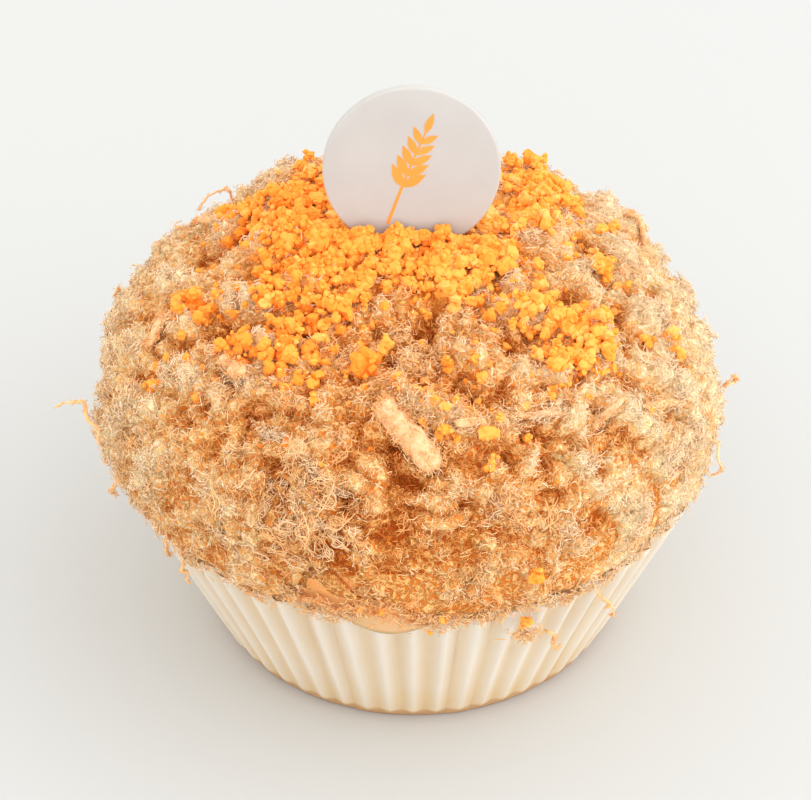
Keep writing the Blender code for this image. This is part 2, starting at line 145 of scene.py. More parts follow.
def piece_of(name, points, quads, triangles, corner_map):
    """An object from arrays of points, four-sided and three-sided faces, and its corners' map."""
    mesh = bpy.data.meshes.new(name)
    mesh.vertices.add(len(points))
    mesh.vertices.foreach_set("co", np.ascontiguousarray(points, dtype=np.float32).ravel())
    corners = np.concatenate([quads.ravel(), triangles.ravel()]).astype(np.int32)
    mesh.loops.add(len(corners))
    mesh.loops.foreach_set("vertex_index", corners)
    after_quads = 4 * len(quads)
    starts = np.concatenate(
        [4 * np.arange(len(quads)), after_quads + 3 * np.arange(len(triangles))]
    ).astype(np.int32)
    mesh.polygons.add(len(starts))
    mesh.polygons.foreach_set("loop_start", starts)
    mesh.update(calc_edges=True)
    mesh.shade_smooth()
    bake = mesh.uv_layers.new(name="OFBake")
    bake.data.foreach_set("uv", np.ascontiguousarray(corner_map, dtype=np.float32).ravel())
    made = bpy.data.objects.new(name, mesh)
    bpy.context.scene.collection.objects.link(made)
    return made


def vertex_values(piece, name, values):
    """A number for each vertex, which a material reads by its name."""
    attribute = piece.data.attributes.new(name, "FLOAT", "POINT")
    attribute.data.foreach_set("value", np.ascontiguousarray(values, dtype=np.float32).ravel())


def cup_wall(angle, height, inset):
    """Points of the pleated wall, by angle and height from 0 to 1, and how deep in a valley.

    The radius grows evenly from base to rim, less the depth of the pleat, which is a cosine
    raised to a power, so that the valleys narrow towards the rim. The ridges die out just over
    the base, in round ends. Each pleat wanders a little in width and depth.
    """
    phase = (angle - FRONT_PLEAT) * PLEATS
    pleat = np.round((angle - FRONT_PLEAT) * PLEATS / (2 * np.pi)) % PLEATS
    uneven = 1 + 0.16 * np.sin(pleat * 2.4) + 0.1 * np.sin(pleat * 5.1 + 1)
    lean = 0.25 * np.sin(pleat * 3.3) * height
    sharp = 0.6 + 0.3 * height
    valley = ((1 - np.cos(phase + lean)) / 2) ** sharp
    valley = 1 - (1 - valley) * (1 - np.exp(-((CUP_HEIGHT * height / RIDGE_END_Z) ** 2)))
    depth = PLEAT_DEPTH_AT_BASE + (PLEAT_DEPTH_AT_RIM - PLEAT_DEPTH_AT_BASE) * height
    flare = CUP_BASE_RADIUS + (CUP_RIM_RADIUS - CUP_BASE_RADIUS) * height
    rim_lift = 0.25 * MM * (1 - 2 * valley) * np.clip((height - 0.9) / 0.1, 0, 1)
    radius = flare - depth * np.clip(uneven, 0.7, 1.25) * valley - inset
    z = CUP_HEIGHT * height + rim_lift
    return np.stack([radius * np.cos(angle), radius * np.sin(angle), z], axis=-1), valley


cup_angles = np.arange(CUP_COLUMNS) * 2 * np.pi / CUP_COLUMNS
fold_turns = np.radians((30, 60, 90))
outer_heights = np.concatenate([np.linspace(0.02, 0.12, 7), np.linspace(0.16, 1.0, 17)])
cup_rows = [(0, BASE_FOLD_RADIUS, share, 0, 1) for share in (0.2, 0.55, 0.85, 0.97)]
cup_rows += [
    (0, BASE_FOLD_RADIUS * (1 - math.sin(turn)), 1, BASE_FOLD_RADIUS * (1 - math.cos(turn)), 0.7)
    for turn in fold_turns
]
cup_rows += [(height, 0, 1, None, 0) for height in outer_heights]
cup_rows += [(height, CUP_PAPER, 1, None, 0) for height in np.linspace(1.0, 0.03, 12)]
cup_rows.append((0.03, CUP_PAPER, 0.3, CUP_PAPER, 0))
cup_rings = []
cup_valleys = []
for height, inset, share, level, least_valley in cup_rows:
    ring, valley = cup_wall(cup_angles, np.full(CUP_COLUMNS, float(height)), inset)
    ring[:, :2] *= share
    if level is not None:
        ring[:, 2] = level
    cup_rings.append(ring)
    cup_valleys.append(least_valley + (1 - least_valley) * valley)
paper = ringed_piece("cup_paper", np.stack(cup_rings), (0, 0, 0), (0, 0, CUP_PAPER))
vertex_values(paper, "valley", np.concatenate([np.concatenate(cup_valleys), [1, 1]]))


def plain_material(name, roughness):
    """A material, its node tree and its Principled shader."""
    made = bpy.data.materials.new(name)
    made.use_nodes = True
    shader = made.node_tree.nodes["Principled BSDF"]
    shader.inputs["Roughness"].default_value = roughness
    return made, made.node_tree, shader


def object_places(tree):
    """Coordinates on the piece, in metres."""
    return tree.nodes.new("ShaderNodeTexCoord").outputs["Object"]


def height_of(tree, places):
    """Height over the base of the cup."""
    node = tree.nodes.new("ShaderNodeSeparateXYZ")
    tree.links.new(places, node.inputs[0])
    return node.outputs["Z"]


def vertex_value(tree, name):
    """The number that vertex_values kept under this name."""
    node = tree.nodes.new("ShaderNodeAttribute")
    node.attribute_name = name
    return node.outputs["Fac"]


def noise_of(tree, places, size, detail=3.0, roughness=0.55):
    """Noise texture on the given coordinates, with waves of about the given size."""
    node = tree.nodes.new("ShaderNodeTexNoise")
    node.inputs["Scale"].default_value = 1 / size
    node.inputs["Detail"].default_value = detail
    node.inputs["Roughness"].default_value = roughness
    tree.links.new(places, node.inputs["Vector"])
    return node.outputs["Fac"]


def worked_out(tree, operation, first, second, third=None):
    """A Math node's result. Each operand is a socket or a number."""
    node = tree.nodes.new("ShaderNodeMath")
    node.operation = operation
    for socket, value in zip(node.inputs, (first, second, third)):
        if isinstance(value, (int, float)):
            socket.default_value = value
        elif value is not None:
            tree.links.new(value, socket)
    return node.outputs[0]


def summed(tree, start, *parts):
    """A number to start from, plus each value times its share."""
    total = start
    for value, share in parts:
        total = worked_out(tree, "MULTIPLY_ADD", value, share, total)
    return total


def ramp_of(tree, tone, stops):
    """The colour at the tone of a ramp with one stop for each pair of place and sRGB colour."""
    node = tree.nodes.new("ShaderNodeValToRGB")
    elements = node.color_ramp.elements
    elements[0].position, elements[1].position = stops[0][0], stops[-1][0]
    elements[0].color, elements[1].color = eye_colour(*stops[0][1]), eye_colour(*stops[-1][1])
    for place, colour in stops[1:-1]:
        elements.new(place).color = eye_colour(*colour)
    tree.links.new(tone, node.inputs["Fac"])
    return node.outputs["Color"]


def coloured(tree, shader, tone, stops):
    """Base colour from a ramp at the tone."""
    tree.links.new(ramp_of(tree, tone, stops), shader.inputs["Base Color"])


def bumped(tree, shader, height, strength, depth):
    """Small relief from a height value, as deep as the given depth where it is one."""
    node = tree.nodes.new("ShaderNodeBump")
    node.inputs["Strength"].default_value = strength
    node.inputs["Distance"].default_value = depth
    tree.links.new(height, node.inputs["Height"])
    tree.links.new(node.outputs["Normal"], shader.inputs["Normal"])


def lit_through(shader, weight, colour_reach, depth):
    """Light that sinks in and comes out beside, further in red than in blue."""
    shader.inputs["Subsurface Weight"].default_value = weight
    shader.inputs["Subsurface Radius"].default_value = colour_reach
    shader.inputs["Subsurface Scale"].default_value = depth


look, tree, shader = plain_material("greaseproof_paper", 0.6)
places = object_places(tree)
height = height_of(tree, places)
# Partly painted shade: the tint grows in the valleys, low on the wall and in the base band, for shade
# and contact shadow as well as the fat; the stain noise is the fat's own.
near_base = worked_out(tree, "MAXIMUM", summed(tree, 1.0, (height, -1 / TINT_AND_SHADE_UP_TO)), 0.0)
base_shade = worked_out(tree, "MAXIMUM", summed(tree, 1.0, (height, -1 / BASE_SHADE_UP_TO)), 0.0)
stain = noise_of(tree, places, STAIN_LENGTH)
in_valley = vertex_value(tree, "valley")
tint_and_shade = summed(tree, -0.14, (in_valley, 0.5), (near_base, 0.25), (base_shade, 0.9), (stain, 0.3))
coloured(tree, shader, tint_and_shade, ((0.0, PAPER_WHITE), (0.65, PAPER_TINTED_AND_SHADED), (1.0, PAPER_BASE_SHADE)))
bumped(tree, shader, noise_of(tree, places, PULP_LENGTH, 4.0), 0.12, 0.1 * MM)
lit_through(shader, 0.25, (1.0, 0.8, 0.55), 1.5 * MM)
paper.data.materials.append(look)
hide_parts("paper_cup")
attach(paper, "root")

# Bun: soft dough, baked to a thin golden skin, which swells over the rim of the cup.
# It shows at the front, in two bays under the hem of the floss, where it is paler at the lip,
# and on one low blister that the floss leaves bare.
BUN_RADIUS = 38.6 * MM
BUN_WIDEST_Z = 31.5 * MM
BUN_TOP_Z = 51.5 * MM
BUN_EXPONENT = 2.4
BUN_LIP_Z = 27.8 * MM
FRONT_OVERHANG = 1.0 * MM
FRONT_SAG = 1.2 * MM
BLISTER = 0.5 * MM
BLISTER_ANGLE = -106.5
BLISTER_Z = 33.3 * MM
BLISTER_HALF_WIDTH = 5.4
BLISTER_HALF_HEIGHT = 2.4 * MM
BUN_IN_CUP_GAP = 0.35 * MM
MOTTLE_LENGTH = 2.2 * MM
PORE_LENGTH = 0.5 * MM
STEEPEST_ROLL = math.radians(78)
SKIN_GOLD = (234, 154, 84)
SKIN_HONEY = (220, 156, 94)
SKIN_PALE = (208, 166, 120)


def over_blister(points):
    """One on the low blister of the dough that the floss leaves bare, falling to zero round it."""
    away = np.degrees(np.arctan2(points[..., 1], points[..., 0])) - BLISTER_ANGLE
    above = points[..., 2] - BLISTER_Z
    return np.exp(-((away / BLISTER_HALF_WIDTH) ** 2) - (above / BLISTER_HALF_HEIGHT) ** 2)


def bun_dome(angle, climb, grow):
    """Points of the dome by angle and climb from 0 at its widest ring to 1 at its crown.

    Radius is the cosine and height the sine of the climb, each raised to 2 / BUN_EXPONENT,
    which squares the dome a little. It swells furthest over the rim at the front.
    """
    turn = climb * np.pi / 2
    up = np.sin(turn) ** (2 / BUN_EXPONENT)
    away = (angle - math.radians(-93)) / math.radians(20)
    swell = FRONT_OVERHANG * np.exp(-away * away) * (1 - up)
    radius = BUN_RADIUS * np.clip(np.cos(turn), 0, 1) ** (2 / BUN_EXPONENT) + swell + grow
    z = BUN_WIDEST_Z + (BUN_TOP_Z - BUN_WIDEST_Z) * up + grow * up
    return np.stack([radius * np.cos(angle), radius * np.sin(angle), z], axis=-1)


bun_angles = np.linspace(-np.pi, np.pi, 448, endpoint=False)
bun_rings = []
for height in (0.035, 0.06, 0.2, 0.45, 0.7, 0.85, 0.94, 1.0):
    ring, _ = cup_wall(bun_angles, np.full_like(bun_angles, height), BUN_IN_CUP_GAP)
    bun_rings.append(ring)
bun_rings[0][:, :2] *= 0.97
widest_ring = bun_dome(bun_angles, np.zeros_like(bun_angles), 0)
sag = np.exp(-((((np.degrees(bun_angles) + 95) / 8.5) ** 2)))
for roll in np.radians((78, 60, 42, 25, 10)):
    ring = widest_ring.copy()
    tuck = 1.1 * (1 - math.cos(roll)) * (1 - sag) - 0.5 * math.sin(roll) * sag
    ring[:, :2] *= (1 - tuck * MM / BUN_RADIUS)[:, None]
    drop = BUN_WIDEST_Z - BUN_LIP_Z + FRONT_SAG * sag
    ring[:, 2] = BUN_WIDEST_Z - drop * math.sin(roll) / math.sin(STEEPEST_ROLL)
    bun_rings.append(ring)
for climb in 0.985 * np.linspace(0, 1, 60) ** 1.3:
    ring = bun_dome(bun_angles, np.full_like(bun_angles, climb), 0)
    ring[:, :2] *= (1 + BLISTER / BUN_RADIUS * over_blister(ring))[:, None]
    bun_rings.append(ring)
bun = ringed_piece("bun_dough", np.stack(bun_rings), (0, 0, 0.9 * MM), (0, 0, BUN_TOP_Z))

look, tree, shader = plain_material("baked_skin", 0.6)
places = object_places(tree)
mottle = noise_of(tree, places, MOTTLE_LENGTH, 7.0, 0.7)
baked = summed(tree, -6.3, (height_of(tree, places), 1 / (5 * MM)), (mottle, 1.4))
coloured(tree, shader, baked, ((0.0, SKIN_PALE), (0.5, SKIN_HONEY), (1.0, SKIN_GOLD)))
bumped(tree, shader, noise_of(tree, places, PORE_LENGTH, 4.0, 0.65), 0.35, 0.12 * MM)
lit_through(shader, 0.3, (1.0, 0.5, 0.2), 2 * MM)
bun.data.materials.append(look)
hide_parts("bun")
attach(bun, "root")

# Coat of floss: shredded dry meat, teased into a felt and pressed on the bun's moist skin.
# This is the dense inner felt, a little inside the coat's uneven outline: knots and tufts with
# pits between them, which are painted darker as shade. The loose fibres of the next sections lie on it.
FLOSS_RADIUS = 40.3 * MM
FLOSS_WIDEST_Z = 36.5 * MM
FLOSS_TOP_Z = 56.2 * MM
FLOSS_EXPONENT = 2.5
FLOSS_CENTRE_X = -0.7 * MM
FLOSS_HEM_RADIUS = 39.9 * MM
FLOSS_HEM_Z = 28.9 * MM
FLOSS_HEM_LOWEST_Z = 28.3 * MM
HEM_SHARE = 0.15
FIELD_WAVES = 14
KNOT_LENGTH = 8.5 * MM
TUFT_LENGTH = 4.6 * MM
PIT_LENGTH = 8.0 * MM
LOBE_LENGTH = 4.4 * MM
LOBE_HEIGHT = 0.95 * MM
CURL_LENGTH = 2.1 * MM
CURL_HEIGHT = 0.42 * MM
HOLE_LENGTH = 6.2 * MM
HOLE_DEPTH = 1.7 * MM
FELT_SINK = 0.75 * MM
BLISTER_BARED = 1.6 * MM
THINNEST_AT_HEM = 1.1 * MM
THICKER_ABOVE = 2.6 * MM
UNDER_FELT = 0.25 * MM
THREAD_LENGTH = 1.1 * MM
PATCH_LENGTH = 7 * MM
YOLK_DUST = (255, 168, 72)
YOLK_BED = 1.2 * MM
YOLK_BED_LUMPS = 0.35 * MM
YOLK_BED_LUMP_LENGTH = 1.5 * MM
COAT_COLUMNS = 440
COAT_ROWS = 170
# Where crumbs lie: middle x and y, spread in x and y, in mm, and how thickly.
CRUMB_DRIFTS = (
    (-15.0, 10.0, 6.0, 9.0, 0.20),
    (-12.0, -3.0, 7.0, 6.0, 0.20),
    (2.0, -5.5, 7.0, 4.5, 0.16),
    (15.0, 10.0, 5.0, 9.0, 0.18),
    (20.0, -14.0, 4.0, 5.5, 0.10),
    (-18.0, -16.0, 5.0, 4.5, 0.08),
    (0.0, 16.0, 12.0, 6.0, 0.08),
)
# How many mm the hem rises, round which direction, and how wide, in degrees.
HEM_BAYS = ((6.0, -107, 5.5), (3.4, -96, 6.0), (2.0, -33, 8.0), (1.6, -12, 6.0))
# Mm outwards, direction and width in degrees, mm over the widest ring, and how tall.
OUTLINE_BULGES = (
    (0.7, -6, 12, 0, 6),
    (-1.7, 14, 18, 7, 8),
    (-0.5, -36, 18, -4, 7),
    (1.4, -171, 14, -3, 6),
    (-0.9, 138, 24, 11, 7),
    (0.3, 46, 14, 9, 6),
    (-0.4, -60, 22, -2, 8),
)


def bell(offset, width):
    """A bell curve: one in the middle, and a third of it one width away."""
    return np.exp(-((offset / width) ** 2))


def around(angle, centre_degrees):
    """Signed difference of two directions, in degrees from -180 to 180."""
    return (np.degrees(angle) - centre_degrees + 180) % 360 - 180


def field(points, length, seed):
    """Smooth noise, mostly within -2 to 2: plane waves of one length in seeded directions."""
    draw = np.random.RandomState(seed)
    directions = draw.normal(size=(FIELD_WAVES, 3))
    directions /= np.linalg.norm(directions, axis=1)[:, None]
    phases = draw.uniform(0, 2 * np.pi, FIELD_WAVES)
    turns = points @ directions.T * (2 * np.pi / length) + phases
    return np.cos(turns).sum(axis=-1) * math.sqrt(2 / FIELD_WAVES)


def floss_hem_z(angle):
    """The uneven lower edge: three sines, plus bays that are bells over angle."""
    wave = 0.5 * np.sin(5 * angle + 0.8) + 0.4 * np.sin(9 * angle + 2.0) + 0.3 * np.sin(16 * angle)
    z = FLOSS_HEM_Z + 0.8 * MM * wave
    for rise, middle, width in HEM_BAYS:
        z = z + rise * MM * bell(around(angle, middle), width)
    return np.maximum(z, FLOSS_HEM_LOWEST_Z)


def floss_bulge(angle, z):
    """Broad swellings and dents of the outline: bells over angle times bells over height."""
    height = (z - FLOSS_WIDEST_Z) / MM
    bulge = 0
    for out, middle, width, level, tallness in OUTLINE_BULGES:
        bulge = bulge + out * bell(around(angle, middle), width) * bell(height - level, tallness)
    return bulge * MM


def drift_depth(x, y):
    """How thick the crumbs lie, from 0 to about 1: a bell over each drift."""
    depth = np.zeros_like(x)
    for centre_x, centre_y, spread_x, spread_y, share in CRUMB_DRIFTS:
        away = np.hypot((x / MM - centre_x) / spread_x, (y / MM - centre_y) / spread_y)
        depth = depth + 4.5 * share * bell(away, 1.2)
    return np.minimum(depth, 1.0)


def clump_relief(points):
    """Height of the tufts: knots and tufts added up, pits taken away, and drifts added."""
    knots = field(points, KNOT_LENGTH, 3)
    tufts = field(points, TUFT_LENGTH, 5)
    pits = np.clip((field(points, PIT_LENGTH, 8) - 0.8) / 0.8, 0, 1)
    top = np.clip((points[..., 2] - 48 * MM) / (6 * MM), 0, 1)
    drift = drift_depth(points[..., 0], points[..., 1]) * top
    relief = 0.2 + 0.5 * knots + 0.32 * tufts - 1.3 * pits * (1 - 0.7 * drift) + 0.8 * drift
    deepest = -0.6 - 1.2 * np.clip((points[..., 2] - 41 * MM) / (9 * MM), 0, 1)
    return np.maximum(relief, deepest) * MM


def floss_base(angle, lift):
    """The smooth coat: lift runs from -1 at the hem over 0 at the widest ring to 1 at the crown.

    Above the widest ring the dome's radius and height are powers of cosine and sine, below it
    the coat falls to the hem on a quarter ellipse.
    """
    turn = np.abs(lift) * np.pi / 2
    across = np.clip(np.cos(turn), 0, 1)
    up = np.sin(turn)
    above = lift >= 0
    widest_up = FLOSS_WIDEST_Z + (FLOSS_TOP_Z - FLOSS_WIDEST_Z) * up ** (2 / FLOSS_EXPONENT)
    widest_down = FLOSS_WIDEST_Z + (floss_hem_z(angle) - FLOSS_WIDEST_Z) * up
    radius_up = FLOSS_RADIUS * across ** (2 / FLOSS_EXPONENT)
    radius_down = FLOSS_HEM_RADIUS + (FLOSS_RADIUS - FLOSS_HEM_RADIUS) * across
    z = np.where(above, widest_up, widest_down)
    radius = np.where(above, radius_up, radius_down) + floss_bulge(angle, z)
    centre_x = FLOSS_CENTRE_X * np.where(above, 1, 1 + lift)
    return np.stack([centre_x + radius * np.cos(angle), radius * np.sin(angle), z], axis=-1)


def unit(vectors):
    """The vectors at length one."""
    size = np.linalg.norm(vectors, axis=-1, keepdims=True)
    return vectors / np.maximum(size, 1e-12)


def floss_surface(angle, lift):
    """Points, normals and height of tufts of the coat; the tufts fade at hem and crown."""
    step = 0.01
    along = floss_base(angle, np.clip(lift + step, -1, 1))
    along = along - floss_base(angle, np.clip(lift - step, -1, 1))
    across = floss_base(angle + step, lift) - floss_base(angle - step, lift)
    normal = np.cross(across, along)
    size = np.linalg.norm(normal, axis=-1, keepdims=True)
    normal = np.where(size > 1e-12, normal / np.maximum(size, 1e-12), (0, 0, 1))
    here = floss_base(angle, lift)
    fade = np.minimum(np.minimum(1, (1 + lift) / 0.6), 0.25 + (1 - lift) / 0.2)
    relief = clump_relief(here) * fade
    return here + normal * relief[..., None], normal, relief


def lift_of_plan_share(share):
    """Lift of the ring whose radius is this share of the widest ring's."""
    return np.arccos(np.clip(share, 0, 1) ** (FLOSS_EXPONENT / 2)) / (np.pi / 2)


def lobes(points, length, seed):
    """Rounded lobes with sharp creases: the size of smooth noise, cut off at its top."""
    return np.minimum(np.abs(field(points, length, seed)), 1.4) - 0.7


def painted_flank_light(points):
    """Painted light: how much paler the floss is made at the flanks and the back, most on the right,
    where the light falls.
    """
    east, north = points[..., 0] / FLOSS_RADIUS, points[..., 1] / FLOSS_RADIUS
    right, left = np.clip(east, 0, 1), np.clip(-east, 0, 1)
    return 0.58 * right**1.4 + 0.28 * left**1.4 + 0.14 * np.clip(north + 0.35, 0, 1)


def less_light_in_pits(relief):
    """Share of the painted flank light by height of the tufts: the grooves get less of it, which paints
    shade in them.
    """
    return np.clip(0.85 + 0.25 * relief / MM, 0.45, 1.1)


def dusting(points):
    """How thickly fine yolk dust lies on the floss, from 0 to 1: under the crumbs, near the top."""
    top = np.clip((points[..., 2] - 44 * MM) / (6 * MM), 0, 1)
    return np.clip(1.5 * drift_depth(points[..., 0], points[..., 1]) - 0.3, 0, 1) * top


def coat_at(angle, lift):
    """Points, normals and height of the felt, with its small lobes and curls.

    It lies a little inside the coat's outline, which the loose fibres reach. It thins out over
    the blister of the bun, rises under the yolk dust, and its pits stop short of the bun.
    """
    points, normals, relief = floss_surface(angle, lift)
    small = LOBE_HEIGHT * lobes(points, LOBE_LENGTH, 21) + CURL_HEIGHT * lobes(points, CURL_LENGTH, 22)
    holes = np.clip((field(points, HOLE_LENGTH, 24) - 0.75) / 0.8, 0, 1)
    small = (small - HOLE_DEPTH * holes) * np.minimum(1, 1.15 + lift)
    small = small - BLISTER_BARED * over_blister(points)
    sink = FELT_SINK * np.clip(0.2 + (1 + lift), 0, 1)
    bed = dusting(points) * (YOLK_BED + YOLK_BED_LUMPS * lobes(points, YOLK_BED_LUMP_LENGTH, 23))
    thin = THINNEST_AT_HEM + THICKER_ABOVE * np.clip(2.2 * lift, 0, 1)
    total = np.maximum(relief + small * (1 - 0.5 * dusting(points)) - sink + bed, -thin)
    return points + normals * (total - relief)[..., None], normals, relief + small


climb = np.linspace(0, 0.995, COAT_ROWS)
from_crown = np.clip((1 - climb) / (1 - HEM_SHARE), 0, 1)
upper_lift = lift_of_plan_share(np.sin(from_crown * np.pi / 2))
coat_lift = np.where(climb < HEM_SHARE, climb / HEM_SHARE - 1, upper_lift)
coat_angle = np.linspace(-np.pi, np.pi, COAT_COLUMNS, endpoint=False)
angle_grid, lift_grid = np.meshgrid(coat_angle, coat_lift)
coat_points, coat_outward, coat_relief = coat_at(angle_grid, lift_grid)

inner_rings = []
for inner_climb in np.linspace(0.985, 0.0, 14):
    inner_rings.append(bun_dome(coat_angle, np.full_like(coat_angle, inner_climb), UNDER_FELT))
inner_lip = inner_rings[-1].copy()
inner_lip[:, 2] = np.minimum(floss_hem_z(coat_angle) + UNDER_FELT, BUN_WIDEST_Z)
inner_rings.append(inner_lip)
shell = np.concatenate([np.stack(inner_rings), coat_points])
crown = coat_points[-1].mean(axis=0)
floss = ringed_piece("floss_felt", shell, (0, 0, BUN_TOP_Z + UNDER_FELT), crown)
inside = np.zeros(len(inner_rings) * COAT_COLUMNS)
vertex_values(floss, "tuft", np.concatenate([inside, coat_relief.ravel() / MM, [0, 0]]))
# Painted light on the flanks and back, less in the grooves, and paler over the blister.
felt_flank_light_and_pale = painted_flank_light(coat_points) * less_light_in_pits(coat_relief) + 0.3 * over_blister(coat_points)
vertex_values(floss, "pale", np.concatenate([inside, felt_flank_light_and_pale.ravel(), [0, 0]]))
vertex_values(floss, "yolk_dust", np.concatenate([inside, dusting(coat_points).ravel(), [0, 1]]))

threads = bpy.data.node_groups.new("felt_threads", "ShaderNodeTree")
threads.interface.new_socket("Places", in_out="INPUT", socket_type="NodeSocketVector")
threads.interface.new_socket("Fineness", in_out="INPUT", socket_type="NodeSocketFloat")
threads.interface.new_socket("Threads", in_out="OUTPUT", socket_type="NodeSocketFloat")
group_in = threads.nodes.new("NodeGroupInput")
group_out = threads.nodes.new("NodeGroupOutput")
strongest = 0.0
for turn, stretch in ((0.3, 1.0), (1.4, 1.45), (2.5, 0.75)):
    turned = threads.nodes.new("ShaderNodeVectorRotate")
    turned.inputs["Axis"].default_value = (1, 0.5, -0.3)
    turned.inputs["Angle"].default_value = turn
    threads.links.new(group_in.outputs["Places"], turned.inputs["Vector"])
    waves = threads.nodes.new("ShaderNodeTexNoise")
    waves.inputs["Detail"].default_value = 1.0
    waves.inputs["Distortion"].default_value = 0.6
    threads.links.new(turned.outputs["Vector"], waves.inputs["Vector"])
    fineness = worked_out(threads, "MULTIPLY", group_in.outputs["Fineness"], stretch)
    threads.links.new(fineness, waves.inputs["Scale"])
    from_line = worked_out(threads, "SUBTRACT", waves.outputs["Fac"], 0.5)
    from_line = worked_out(threads, "ABSOLUTE", from_line, 0.0)
    line = summed(threads, 1.0, (from_line, -16.0))
    strongest = worked_out(threads, "MAXIMUM", strongest, line)
threads.links.new(strongest, group_out.inputs["Threads"])


def threads_on(tree, places, length):
    """Thin lines like matted threads, of about the given length, as the group works them out."""
    node = tree.nodes.new("ShaderNodeGroup")
    node.node_tree = threads
    node.inputs["Fineness"].default_value = 1 / length
    tree.links.new(places, node.inputs["Places"])
    return node.outputs["Threads"]


look, tree, shader = plain_material("floss_felt", 0.85)
places = object_places(tree)
matted = threads_on(tree, places, THREAD_LENGTH)
patches = noise_of(tree, places, PATCH_LENGTH)
tuft, pale = vertex_value(tree, "tuft"), vertex_value(tree, "pale")
# Painted light and shade: darker in the pits and lighter on the tufts by their height, and paler by the
# painted flank light; the threads and patches are the felt's own tone.
tone = summed(tree, 0.0, (tuft, 0.15), (pale, 1.0), (matted, 0.5), (patches, 0.35))
felt_colour = ramp_of(
    tree,
    tone,
    (
        (0.0, (166, 74, 18)),
        (0.25, (216, 124, 46)),
        (0.5, (244, 174, 98)),
        (0.75, (254, 212, 148)),
        (1.0, (255, 230, 184)),
    ),
)
dusted = tree.nodes.new("ShaderNodeMix")
dusted.data_type = "RGBA"
dusted.inputs["B"].default_value = eye_colour(*YOLK_DUST)
tree.links.new(vertex_value(tree, "yolk_dust"), dusted.inputs["Factor"])
tree.links.new(felt_colour, dusted.inputs["A"])
tree.links.new(dusted.outputs["Result"], shader.inputs["Base Color"])
bumped(tree, shader, matted, 0.8, 0.3 * MM)
shader.inputs["Specular IOR Level"].default_value = 0.2
floss.data.materials.append(look)
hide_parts("floss")
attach(floss, "root")

# Loose fibres of the floss: dry curly threads, 0.13 mm thick and 1 to 4 mm long, caught in
# the felt by one end or both. Darker amber ones lie low in the pits, cream ones on the tufts,
# which paints shade in the pits.
FIBRE_THICKNESS = (0.10 * MM, 0.16 * MM)
AMBER_FIBRES = 9000
TAN_FIBRES = 9900
CREAM_FIBRES = 9900
BLOND_FIBRES = 900
FIBRE_WAVER = 1.3
FLOW_LENGTH = 14 * MM

cell_across = np.roll(coat_points, -1, axis=1) - coat_points
cell_along = coat_points[1:] - coat_points[:-1]
cell_area = np.linalg.norm(np.cross(cell_across[:-1], cell_along), axis=-1)
fine_normals = unit(
    np.cross(
        np.roll(coat_points, -1, axis=1) - np.roll(coat_points, 1, axis=1),
        np.gradient(coat_points, axis=0),
    )
)


def on_coat(draw, count, weight):
    """Random places on the coat, by area times weight: points, fine and broad normals, tufts."""
    chance = (cell_area * weight[:-1]).ravel()
    cells = draw.choice(chance.size, count, p=chance / chance.sum())
    row, column = np.divmod(cells, COAT_COLUMNS)
    beside = (column + 1) % COAT_COLUMNS
    right, up = draw.uniform(size=(2, count, 1))
    found = []
    for grid in (coat_points, fine_normals, coat_outward, coat_relief[..., None]):
        low = grid[row, column] * (1 - right) + grid[row, beside] * right
        high = grid[row + 1, column] * (1 - right) + grid[row + 1, beside] * right
        found.append(low * (1 - up) + high * up)
    points, fine, broad, relief = found
    return points, unit(fine), unit(broad), relief[:, 0]


def combed(draw, points, normals):
    """Headings in the surface: a slowly turning flow, and a random part for each fibre."""
    flow = np.stack([field(points, FLOW_LENGTH, seed) for seed in (31, 32, 33)], axis=1)
    heading = flow + 1.4 * draw.normal(size=points.shape)
    heading -= normals * np.sum(heading * normals, axis=1)[:, None]
    return unit(heading)


